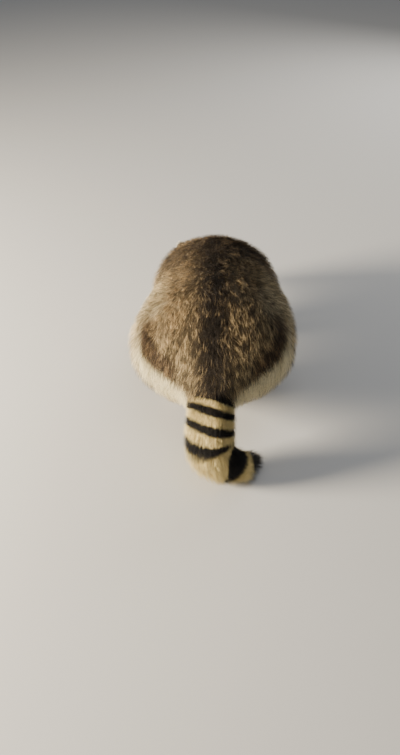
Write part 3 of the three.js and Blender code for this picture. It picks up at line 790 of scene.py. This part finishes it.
RING_PALE, RING_DARK = (*paint(236, 216, 154), 1), (*paint(24, 20, 18), 1)
RING_EDGE, RING_WANDER = 2.0, 0.030
LEATHER_BLACK = (*paint(30, 26, 25), 1)
TUFTING = 150


def tone_ramp(surface, value, stops):
    """Tones along a value, each a place and a colour."""
    ramp = add_node(surface, "ValToRGB", "Color", {"Fac": value})
    elements = ramp.node.color_ramp.elements
    while len(elements) < len(stops):
        elements.new(0.5)
    for element, (at, _) in zip(elements, stops):
        element.position = at
    for element, (_, tone) in zip(elements, stops):
        element.color = (*tone, 1)
    return ramp


# white for the pale rings and black for the dark ones, over the tail's whole run
WHITE, BLACK = (1.0, 1.0, 1.0), (0.0, 0.0, 0.0)
tail_reach = float(ends[-1])
ring_stops = [(0.0, WHITE)]
for k, end in enumerate(np.cumsum(RINGS)[:-1]):
    before, after = (WHITE, BLACK) if k % 2 == 0 else (BLACK, WHITE)
    ring_stops += [((end - RING_EDGE) / tail_reach, before), ((end + RING_EDGE) / tail_reach, after)]
ring_stops.append((1.0, WHITE))


def finish(surface, colour, pattern, roughness, relief, deep, invert=False):
    """Colours a surface, and gives it gloss and relief that follow a pattern."""
    gloss = {"Value": pattern, "To Min": roughness[0], "To Max": roughness[1]}
    bumps = {"Height": pattern, "Strength": relief, "Distance": deep}
    feed(surface, {
        "Base Color": colour,
        "Roughness": add_node(surface, "MapRange", "Result", gloss),
        "Normal": add_node(surface, "Bump", "Normal", bumps, invert=invert),
    })


def hair_material(name, grain_scale, relief, roughness, combed):
    """Hair coloured by its own attributes, painted shade among them, with a fine grain in colour, gloss and
    relief.
    """
    made, surface = new_finish(name)

    def reads(attribute, output="Fac"):
        return add_node(surface, "Attribute", output, attribute_name=attribute)

    def times(colour, by):
        return add_node(surface, "VectorMath", 0, {0: colour, "Scale": by}, operation="SCALE")

    def mixed(share, below, above):
        return add_node(surface, "Mix", "Result", {"Factor": share, "A": below, "B": above}, data_type="RGBA")

    grain = pattern_on(surface, grain_scale, reads("hair_map", "Vector") if combed else None, Detail=4)
    tufting = pattern_on(surface, TUFTING, Detail=3)

    # the tail's rings, their edges broken by the tufts
    wander = {0: tufting, 1: RING_WANDER, 2: -RING_WANDER / 2}
    wander = add_node(surface, "Math", 0, wander, operation="MULTIPLY_ADD")
    along = {0: reads("tail_run"), 1: 1 / tail_reach, 2: wander}
    along = add_node(surface, "Math", 0, along, operation="MULTIPLY_ADD")
    rings = mixed(tone_ramp(surface, along, ring_stops), RING_PALE, RING_DARK)
    # the rings are darkened by the 'shade' attribute: painted shade towards the tufts' roots and on the hide
    # under the coat
    rings = times(rings, reads("shade"))
    dye_and_shade = mixed(reads("tail_share"), reads("fur_colour", "Color"), rings)

    # uneven dye from hair to hair, and black leather where the hide is bare
    uneven = {"Value": grain, "From Min": 0.3, "From Max": 0.7, "To Min": 0.72, "To Max": 1.25}
    dye_and_shade = times(dye_and_shade, add_node(surface, "MapRange", "Result", uneven))
    dye_and_shade = mixed(reads("bare"), dye_and_shade, LEATHER_BLACK)
    finish(surface, dye_and_shade, grain, (roughness - 0.12, roughness + 0.12), relief, 0.001)
    feed(surface, {"Specular IOR Level": 0.20, "Sheen Weight": 0.06, "Sheen Roughness": 0.5})
    return made


hide_mesh.materials.append(hair_material("hide_and_short_fur", 2200, 0.60, 0.72, True))
hide_mesh.polygons.foreach_set("material_index", np.zeros(len(hide_mesh.polygons), dtype=np.int32))
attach(skin, "root")
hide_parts(*FLESH)


# ------------------------------------------------------------------ eyes
# Dark glass eyes, set in the sockets as deep as the live ones: each a ball
# with a low corneal bulge, a near-black pupil and a brown iris.
IRIS_ANGLE, PUPIL_ANGLE, EDGE_ANGLE = 0.62, 0.26, 0.85
CORNEA_RISE, EYE_SLACK = 0.55, 0.25
IRIS_STREAKS, STREAK_WANDER = 2600, 0.10
IRIS_TONES = (
    (PUPIL_ANGLE, (0.003, 0.002, 0.002)),
    (PUPIL_ANGLE + 0.06, (0.007, 0.004, 0.002)),
    (IRIS_ANGLE - 0.06, (0.015, 0.007, 0.003)),
    (IRIS_ANGLE + 0.05, (0.006, 0.004, 0.003)),
    (EDGE_ANGLE, (0.012, 0.008, 0.006)),
)
eye_glass, glass = new_finish("eye_glass")
gaze = add_node(glass, "Attribute", "Fac", attribute_name="gaze")
wander = {0: pattern_on(glass, IRIS_STREAKS), 1: STREAK_WANDER, 2: gaze}
wander = add_node(glass, "Math", 0, wander, operation="MULTIPLY_ADD")
feed(glass, {
    "Base Color": tone_ramp(glass, wander, IRIS_TONES),
    "Roughness": 0.06,
    "Specular IOR Level": 0.30,
    "Coat Weight": 0.20,
    "Coat Roughness": 0.02,
})


def new_ball(name, segments, rings):
    """A ball of radius one, selected alone."""
    bpy.ops.object.select_all(action="DESELECT")
    bpy.ops.mesh.primitive_uv_sphere_add(segments=segments, ring_count=rings, radius=1, location=(0, 0, 0))
    made = bpy.context.object
    made.name = name
    return made


for side, name in ((1, "eye_left"), (-1, "eye_right")):
    centre, out, across, upward = eye_axes(side)
    eye = new_ball("glass_" + name, 40, 28)
    ball = points_of(eye.data)
    angle = np.arccos(np.clip(ball[:, 2], -1, 1))
    ball *= (EYE_RADIUS - EYE_SLACK + CORNEA_RISE * soft(-angle, -0.75, -0.35))[:, None]
    set_points(eye.data, from_head(centre + ball @ np.array((across, upward, out))))
    store(eye.data, "gaze", angle)
    turn_faces_out()
    bpy.ops.object.shade_smooth()
    eye.data.materials.append(eye_glass)
    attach(eye, "root")
    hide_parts(name)


# ------------------------------------------------------------------ nose
# The nose pad: moist black leather, pebbled with its grooves darkened as painted shade, with a comma-shaped
# nostril at each side painted near-black as the shade in its hollow, and a furrow down the middle, set on the
# end of the muzzle.
NOSTRIL_DEEP, FURROW_DEEP = 0.42, 0.10
PEBBLES, PEBBLE_RELIEF, PEBBLE_DEEP, MOIST = 1300, 0.5, 0.0004, (0.28, 0.50)
PEBBLE_TOP, PEBBLE_GROOVE_SHADE = (0.030, 0.026, 0.026), (0.010, 0.008, 0.008)
NOSTRIL_SHADE = (0.002, 0.0015, 0.0015, 1)
nose = new_ball("nose_pad", 64, 44)
ball = points_of(nose.data)[:, [0, 2, 1]] * np.array((1, -1, 1))
flat_front = soft(-ball[:, 1], 0.3, 1.0)
ball[:, 0] *= 1 - 0.16 * soft(-ball[:, 2], 0.1, 0.9)
ball[:, 2] += 0.10 * flat_front
nostril = np.zeros(len(ball))
for side in (1, -1):
    for out, ahead, up, across, deep_in in (
        (0.44, -0.80, -0.10, 0.20, 1.0), (0.62, -0.66, -0.24, 0.15, 0.85), (0.76, -0.48, -0.28, 0.12, 0.7),
    ):
        gap = np.linalg.norm(ball - np.array((side * out, ahead, up)), axis=1)
        nostril = np.maximum(nostril, deep_in * np.exp(-(gap / across) ** 4))
furrow = bell(ball[:, 0], 0.07) * soft(-ball[:, 1], 0.2, 0.6) * soft(-ball[:, 2], -0.5, 0.0)
ball *= (1 - NOSTRIL_DEEP * nostril - FURROW_DEEP * furrow)[:, None]
set_points(nose.data, from_head(NOSE_IN_HEAD + ball * NOSE_SIZE))
store(nose.data, "nostril", nostril)
turn_faces_out()
bpy.ops.object.shade_smooth()
nose_leather, leather = new_finish("nose_leather")
pebbles = pattern_on(leather, PEBBLES, kind="TexVoronoi", output="Distance")
# pebble tops lighter, the grooves between them darker: painted shade in the grooves
tint = tone_ramp(leather, pebbles, ((0, PEBBLE_TOP), (1, PEBBLE_GROOVE_SHADE)))
hollow = add_node(leather, "Attribute", "Fac", attribute_name="nostril")
# the nostrils' hollows are painted near-black: painted shade
tint = {"Factor": hollow, "A": tint, "B": NOSTRIL_SHADE}
tint = add_node(leather, "Mix", "Result", tint, data_type="RGBA")
finish(leather, tint, pebbles, MOIST, PEBBLE_RELIEF, PEBBLE_DEEP, invert=True)
nose.data.materials.append(nose_leather)
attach(nose, "root")
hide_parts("nose")


# ----------------------------------------------------------------- claws
# Five blunt curved claws of grey-brown horn on each paw: the carved forms
# smoothed, and lengthened backwards so that their roots stand in the toes.
CLAWS = [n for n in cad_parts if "claw" in n]
CLAW_REACH = 1.38
FIBRES, FIBRE_STRETCH, FIBRE_RELIEF, FIBRE_DEEP, POLISH = 1400, (1, 0.22, 1), 0.3, 0.0003, (0.28, 0.48)
bpy.ops.object.select_all(action="DESELECT")
forms = [copy_solid(name) for name in CLAWS]
for name, claw in zip(CLAWS, forms):
    paw = middle(name[:-2].replace("claw", "paw"))
    carved = points_of(claw.data)
    tip = carved[np.argmax(np.linalg.norm(carved - paw, axis=1))]
    set_points(claw.data, tip + (carved - tip) * CLAW_REACH)
claws = join_copies(forms, "claws")
turn_faces_out(MERGE_GAP)
rounding = claws.modifiers.new("rounding", "SUBSURF")
rounding.levels = rounding.render_levels = 2
bpy.ops.object.modifier_apply(modifier="rounding")
bpy.ops.object.shade_smooth()
claw_horn, horn = new_finish("claw_horn")
place = add_node(horn, "TexCoord", "Object")
stretched = add_node(horn, "Mapping", "Vector", {"Vector": place, "Scale": FIBRE_STRETCH})
fibre = pattern_on(horn, FIBRES, stretched, Detail=3)
tint = tone_ramp(horn, fibre, ((0.3, paint(52, 44, 38)), (0.7, paint(110, 96, 80))))
finish(horn, tint, fibre, POLISH, FIBRE_RELIEF, FIBRE_DEEP)
claws.data.materials.append(claw_horn)
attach(claws, "root")
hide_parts(*CLAWS)


# ------------------------------------------------------------------ coat
# The fur, laid over the hide as closed tapering tufts that overlap like
# thatch: dense and long on body and tail, short on legs, least on the face.
TUFTS = 125000
rng = np.random.default_rng(20)

# length, thickness and rise of the tufts in millimetres, and how many, by part
HEIGHTS_ON_LEG = (20, 45, 75, 110, 150)
crown = soft(h[:, 1], -45, 5)
ruff = soft(np.abs(h[:, 0]), 44, 72) * soft(h[:, 1], -40, -10)
leg_length = np.interp(z, HEIGHTS_ON_LEG, (5.5, 8, 13, 21, 30))
leg_rise = np.interp(z, HEIGHTS_ON_LEG, (1.2, 2.2, 4.2, 7.5, 11.5))
leg_crowd = 0.9 + 1.3 * soft(-z, -105, -60)
waist = bell(y - 8, 75) * soft(np.abs(x), 55, 110)
length = mix_parts(
    share_of, trunk=27 * (0.55 + 0.45 * soft(z, 45, 130)) * (1 - 0.14 * rump_fall), neck=25.0,
    head=4.6 + 8.0 * crown + 12 * ruff, muzzle=3.6, ear=7.0,
    leg=leg_length, paw=5.2, tail=25 + 8 * soft(tail_run, 10, 90),
)
rise = mix_parts(
    share_of, trunk=13.0 + 3.2 * rump_fall, neck=11.5, head=1.7 + 4.2 * crown + 5 * ruff,
    muzzle=1.0, ear=1.6, leg=leg_rise, paw=1.0, tail=14.0,
)
rise *= 1 + 0.80 * waist
short = soft(-length, -13, -7)
thick = (0.40 + 0.34 * soft(length, 8, 30) + 0.42 * short) * (1 - 0.20 * tail_share - 0.32 * on_paws)
crowd = mix_parts(
    share_of, trunk=1.0, neck=1.0, head=2.1, muzzle=4.0, ear=2.9,
    fore_leg=leg_crowd, hind_leg=0.72 * leg_crowd, fore_paw=4.0, hind_paw=2.8, tail=2.3,
)
crowd *= 1 - soft(bare, 0.1, 0.6)
length = spread(length, edges, 4)
rise = spread(rise, edges, 4)

# the roots: scattered over the hide's triangles, but not over the lids' rims
hide_mesh.calc_loop_triangles()
tri = read(hide_mesh.loop_triangles, "vertices", 3, np.int32)
tri_loops = read(hide_mesh.loop_triangles, "loops", 3, np.int32)
flat_map = read(hide_mesh.uv_layers["OFBake"].uv, "vector", 2)
first, second, third = (points[tri[:, k]] for k in range(3))
area = np.linalg.norm(np.cross(second - first, third - first), axis=1) / 2
weight = area * crowd[tri].mean(1)
weight[tri.max(1) >= n - 2 * RIM_STEPS * RIM_SIDES] = 0
chosen = np.sort(np.searchsorted(np.cumsum(weight), rng.random(TUFTS) * weight.sum()))
r1, r2 = np.sqrt(rng.random(TUFTS)), rng.random(TUFTS)
corner_share = np.stack([1 - r1, r1 * (1 - r2), r1 * r2], axis=1)


def at_roots(values, index=tri):
    """What the hide has at each tuft's root."""
    if values.ndim == 1:
        return (values[index[chosen]] * corner_share).sum(1)
    return (values[index[chosen]] * corner_share[:, :, None]).sum(1)


root = at_roots(points)
root_normal = unit(at_roots(normals))
root_way = at_roots(way)
root_uv = at_roots(flat_map, tri_loops)
root_share = at_roots(share_of)
root_length, root_rise, root_thick = at_roots(length), at_roots(rise), at_roots(thick)
root_tail = at_roots(tail_share)
on_tail = root_tail > 0.5

# each tuft leans a little its own way, and neighbours lean together
lean = np.stack([mottle(root, 26, s) for s in (0, 31.7, 57.1)], axis=1) * 0.32
lean = lean + rng.normal(0, 0.13, (TUFTS, 3))
root_way = unit(root_way) + lean
root_way -= (root_way * root_normal).sum(1)[:, None] * root_normal
root_way = unit(root_way)
aside = np.cross(root_way, root_normal)

# long stout guard hairs stand among the fine ones, except where the coat is short
GUARD_CHANCE, GUARD_LEAST, STEEPEST = 0.40, 12, 0.55
is_guard = (rng.random(TUFTS) < GUARD_CHANCE) & (root_length > GUARD_LEAST)


def drawn(guard_span, fine_span):
    """A draw for every tuft from the guard hairs' span, and then one from the fine hairs'."""
    return np.where(is_guard, rng.uniform(*guard_span, TUFTS), rng.uniform(*fine_span, TUFTS))


own_length = root_length * drawn((0.95, 1.25), (0.62, 1.0))
own_rise = np.minimum(root_rise * drawn((0.70, 1.10), (0.35, 0.85)), own_length * STEEPEST)
own_rise *= np.where(on_tail, rng.uniform(0.75, 1.22, TUFTS), 1.0)
own_bend = rng.normal(0, 0.10, TUFTS)

# tips gather into locks
LOCK, GATHER = 4, 0.50
locks = kdtree.KDTree(TUFTS // LOCK + 1)
seeds = rng.permutation(TUFTS)[::LOCK]
for i, seed in enumerate(seeds):
    locks.insert(Vector(root[seed]), i)
locks.balance()
lock = np.array([locks.find(Vector(p))[1] for p in root])
toward = root[seeds[lock]] - root
gather = (GATHER * soft(root_length, 4, 24))[:, None]

# colours: a tuft is a dark one or a pale one by the marking under its middle, with the painted light and
# shade among it, and its tips make flecks that are wider than they are long
SHOWN_AT, TIP_AT, FLECK_SQUASH = 0.62, 0.80, (1.0, 1.9, 1.5)
shown = root + root_way * (SHOWN_AT * own_length / 1000)[:, None]
root_dark, root_pale, root_deep = markings_and_painted_light(shown, root_normal, root_share)
tip_place = (root + root_way * (TIP_AT * own_length / 1000)[:, None]) * FLECK_SQUASH
flecks = 0.5 + 1.15 * (0.76 * mottle(tip_place, 7.5, 11.0) + 0.24 * mottle(tip_place, 19.0, 5.0))
chance = rng.random(TUFTS) * 0.22 + 0.78 * np.clip(flecks, 0, 1)
is_dark = soft(root_dark * 1.06 - 0.03 - chance, -0.07, 0.07)[:, None]
own_tone = 1 + (rng.uniform(-0.20, 0.18, TUFTS) * np.where(root_length < 10, 0.6, 1.0))[:, None]
heavy = soft(root_dark, 0.62, 0.92)[:, None]
mid_dark = is_dark * (0.80 + 0.18 * heavy)
patterned = (4 * root_dark * (1 - root_dark))[:, None]
base_tone = root_pale * (1 - 0.42 * patterned) * (1 - 0.5 * is_dark * heavy)
base_tone = base_tone + root_deep * 0.5 * is_dark * heavy
middle_tone = root_pale * (1 - mid_dark) + root_deep * mid_dark
tip_tone = (root_pale * 1.14) * (1 - is_dark) + root_deep * is_dark
tail_tone = rng.uniform(0.84, 1.12, TUFTS)

# how far along a tuft its rings stand, and how stout it is there
GUARD_STOPS = ((0.0, 0.62), (0.36, 1.0), (0.72, 0.72))
FINE_STOPS = ((0.0, 0.75), (0.48, 0.90))
CORNERS, FLATNESS, ROOT_SUNK, FLOOR_GAP = (90, 210, 330), 0.42, 0.0008, 0.0004
PATCH, MAP_EDGE = 0.003, 0.001
hair = hair_material("coat_hair", 1100, 0.25, 0.62, False)


def tufts(name, picked, stops):
    """Joins the picked tufts into one piece: three-sided closed spikes, swept over the hide."""
    count, rings = len(picked), len(stops)
    each = rings * 3 + 1
    spikes, tint = np.empty((count, each, 3)), np.empty((count, each, 3))
    shade = np.empty((count, each))
    reach, height = own_length[picked] / 1000, own_rise[picked] / 1000
    lie, up, across = root_way[picked], root_normal[picked], aside[picked]
    bend, pull, toward_lock = own_bend[picked], gather[picked], toward[picked]

    def spine(t):
        forward = np.sqrt(np.maximum(reach ** 2 - height ** 2, 0)) * t
        lift = height * (1.55 * t - 0.55 * t * t) - ROOT_SUNK
        swept = root[picked] + lie * forward[:, None] + up * lift[:, None]
        return swept + across * (bend * reach * t * t)[:, None] + toward_lock * pull * (t * t)

    def colour_at(t):
        early, late = np.clip(t / 0.4, 0, 1), np.clip((t - 0.55) / 0.35, 0, 1)
        below = base_tone[picked] * (1 - early) + middle_tone[picked] * early
        return (below * (1 - late) + tip_tone[picked] * late) * own_tone[picked]

    for k, (t, stout) in enumerate(stops):
        ring = slice(k * 3, k * 3 + 3)
        here = spine(t)
        tangent = unit(spine(t + 0.05) - spine(max(t - 0.05, 0)))
        over = unit(np.cross(across, tangent))
        over *= np.sign((over * up).sum(1))[:, None]
        wide = unit(np.cross(tangent, over))
        half = (root_thick[picked] / 2000 * stout)[:, None]
        for j, angle in enumerate(CORNERS):
            c, s = math.cos(math.radians(angle)), math.sin(math.radians(angle))
            spikes[:, k * 3 + j] = here + half * (c * wide + FLATNESS * s * over)
        tint[:, ring] = colour_at(t)[:, None]
        shade[:, ring] = ((0.55 + 0.45 * min(t / 0.4, 1)) * tail_tone[picked])[:, None]
    spikes[:, -1] = spine(1.0)
    tint[:, -1] = colour_at(1.0)
    shade[:, -1] = tail_tone[picked]
    spikes[:, :, 2] = np.maximum(spikes[:, :, 2], FLOOR_GAP)

    # one tuft's faces from root to tip, and where their corners lie on its patch of the map
    loops, sizes, flats = [2, 1, 0], [3], [(0, -0.5)] * 3
    lay = (-0.5, 0.5, 0.0)
    for k, (t, _) in enumerate(stops):
        for j, i in ((0, 1), (1, 2), (2, 0)):
            loops += [k * 3 + j, k * 3 + i]
            flats += [(lay[j], t - 0.5), (lay[i], t - 0.5)]
            if k < rings - 1:
                above = stops[k + 1][0] - 0.5
                loops += [k * 3 + 3 + i, k * 3 + 3 + j]
                flats += [(lay[i], above), (lay[j], above)]
                sizes.append(4)
            else:
                loops.append(each - 1)
                flats.append((0, 0.5))
                sizes.append(3)
    loops, flats = np.array(loops), np.array(flats)
    starts = np.concatenate([[0], np.cumsum(sizes)[:-1]])
    own = np.arange(count)[:, None]

    mesh = bpy.data.meshes.new(name)
    mesh.vertices.add(count * each)
    mesh.vertices.foreach_set("co", spikes.astype(np.float32).ravel())
    mesh.loops.add(count * len(loops))
    mesh.loops.foreach_set("vertex_index", (loops + own * each).astype(np.int32).ravel())
    mesh.polygons.add(count * len(sizes))
    mesh.polygons.foreach_set("loop_start", (starts + own * len(loops)).astype(np.int32).ravel())
    mesh.update(calc_edges=True)
    mesh.uv_layers.new(name="OFBake")
    uv = np.clip(root_uv[picked][:, None] + flats[None] * PATCH, MAP_EDGE, 1 - MAP_EDGE)
    mesh.uv_layers["OFBake"].uv.foreach_set("vector", uv.astype(np.float32).ravel())
    run = np.zeros(count * each)
    if root_tail[picked].max() > 0.01:
        run = leaning_run(spikes.reshape(-1, 3), along_tail(spikes.reshape(-1, 3))[0])
    store(mesh, "fur_colour", tint.reshape(-1, 3))
    store(mesh, "shade", shade.ravel())
    store(mesh, "tail_run", run)
    store(mesh, "tail_share", np.repeat(np.where(on_tail[picked], 1.0, 0.0), each))
    mesh.shade_smooth()
    mesh.materials.append(hair)
    coat = bpy.data.objects.new(name, mesh)
    bpy.context.collection.objects.link(coat)
    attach(coat, "root")


# the coat in pieces: four lengths of the body, the tail's dark and pale rings, face and legs
part_at_root = root_share.argmax(1)
on_face = np.isin(part_at_root, (HEAD, MUZZLE, EAR)) & ~on_tail
on_limb = np.isin(part_at_root, (FORE_LEG, HIND_LEG, FORE_PAW, HIND_PAW)) & ~on_tail
on_fore = np.isin(part_at_root, (FORE_LEG, FORE_PAW))
on_body = ~(on_tail | on_face | on_limb)
body_cuts = np.quantile(root[on_body, 1], (0.25, 0.5, 0.75))
length_of_body = np.searchsorted(body_cuts, root[:, 1])
ring_index = np.searchsorted(np.cumsum(RINGS), along_tail(root)[0])
for name, here, slot_name in (
    ("coat_shoulders", on_body & (length_of_body == 0), "coat_nape"),
    ("coat_ribs", on_body & (length_of_body == 1), "coat_grizzled"),
    ("coat_loins", on_body & (length_of_body == 2), "coat_grizzled"),
    ("coat_haunches", on_body & (length_of_body == 3), "coat_grizzled"),
    ("coat_tail_dark", on_tail & (ring_index % 2 == 0), "tail_dark"),
    ("coat_tail_pale", on_tail & (ring_index % 2 == 1), "tail_pale"),
    ("coat_face", on_face, "coat_face"),
    ("coat_fore_legs", on_limb & on_fore, "coat_limb"),
    ("coat_hind_legs", on_limb & ~on_fore, "coat_limb"),
):
    tufts(name + "_guard", np.flatnonzero(here & is_guard), GUARD_STOPS)
    tufts(name + "_fine", np.flatnonzero(here & ~is_guard), FINE_STOPS)


# -------------------------------------------------------------- whiskers
# Stiff white bristles in four rows on each lip and a few over each eye,
# each a long taper, set in the hide and bowed back and down.
WHISKER_SIDES, WHISKER_STEPS, WHISKER_ROOT, WHISKER_TIP = 5, 9, 0.17, 0.00003
WHISKER_SEAT, WHISKER_STREAKS, WHISKER_GLOSS = 0.001, 500, 0.32
PAD_ROWS, PAD_COLUMNS, BROW_HAIRS = 4, 4, 3
SAG_WAY = np.array((0, 0.35, -1))
hide_surface = BVHTree.FromObject(skin, bpy.context.evaluated_depsgraph_get())
bristles = []
for side in (1, -1):
    for row in range(PAD_ROWS):
        for column in range(PAD_COLUMNS):
            seat = (side * 14, -88 + 4.6 * column - 1.2 * row, -8.5 - 3.4 * row)
            aim = (side * 1.0, 0.10 + 0.16 * column, 0.16 - 0.20 * row)
            bristles.append((seat, aim, 40 + 8 * column - 4 * abs(row - 1), 0.22))
    for k in range(BROW_HAIRS):
        seat = (side * (16 + 4 * k), -45, 18)
        aim = (side * (0.35 + 0.2 * k), 0.15, 1.0)
        bristles.append((seat, aim, 24 + 3 * k, 0.30))

whisker_points, whisker_faces = [], []
for seat, aim, reach, sag in bristles:
    start = np.array(hide_surface.find_nearest(Vector(from_head(np.array(seat, dtype=float))))[0])
    heading = unit(np.array([aim], dtype=float) @ HEAD_AXES)[0]
    whisker_faces += tube_faces(len(whisker_points), WHISKER_STEPS, WHISKER_SIDES, closed=False)
    for k in range(WHISKER_STEPS):
        t = k / (WHISKER_STEPS - 1)
        run = heading * reach * t + SAG_WAY * sag * reach * t * t * 0.6 + head_back * 0.25 * reach * t * t
        centre = start - heading * WHISKER_SEAT + run / 1000
        ahead = unit((heading + SAG_WAY * sag * t * 1.2 + head_back * 0.5 * t)[None])[0]
        aside_one = unit(np.cross(ahead, (0.1, 0.2, 1.0))[None])[0]
        half = WHISKER_ROOT / 1000 * (1 - t) ** 0.8 + WHISKER_TIP
        whisker_points += ring_round(centre, half, aside_one, np.cross(ahead, aside_one), WHISKER_SIDES)
whiskers = new_piece("whiskers", whisker_points, whisker_faces)
bpy.ops.object.shade_smooth()
whisker_bristle, keratin = new_finish("whisker_bristle")
streaks = pattern_on(keratin, WHISKER_STREAKS)
tint = tone_ramp(keratin, streaks, ((0, paint(205, 198, 184)), (1, paint(250, 248, 242))))
feed(keratin, {"Base Color": tint, "Roughness": WHISKER_GLOSS})
whiskers.data.materials.append(whisker_bristle)
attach(whiskers, "root")
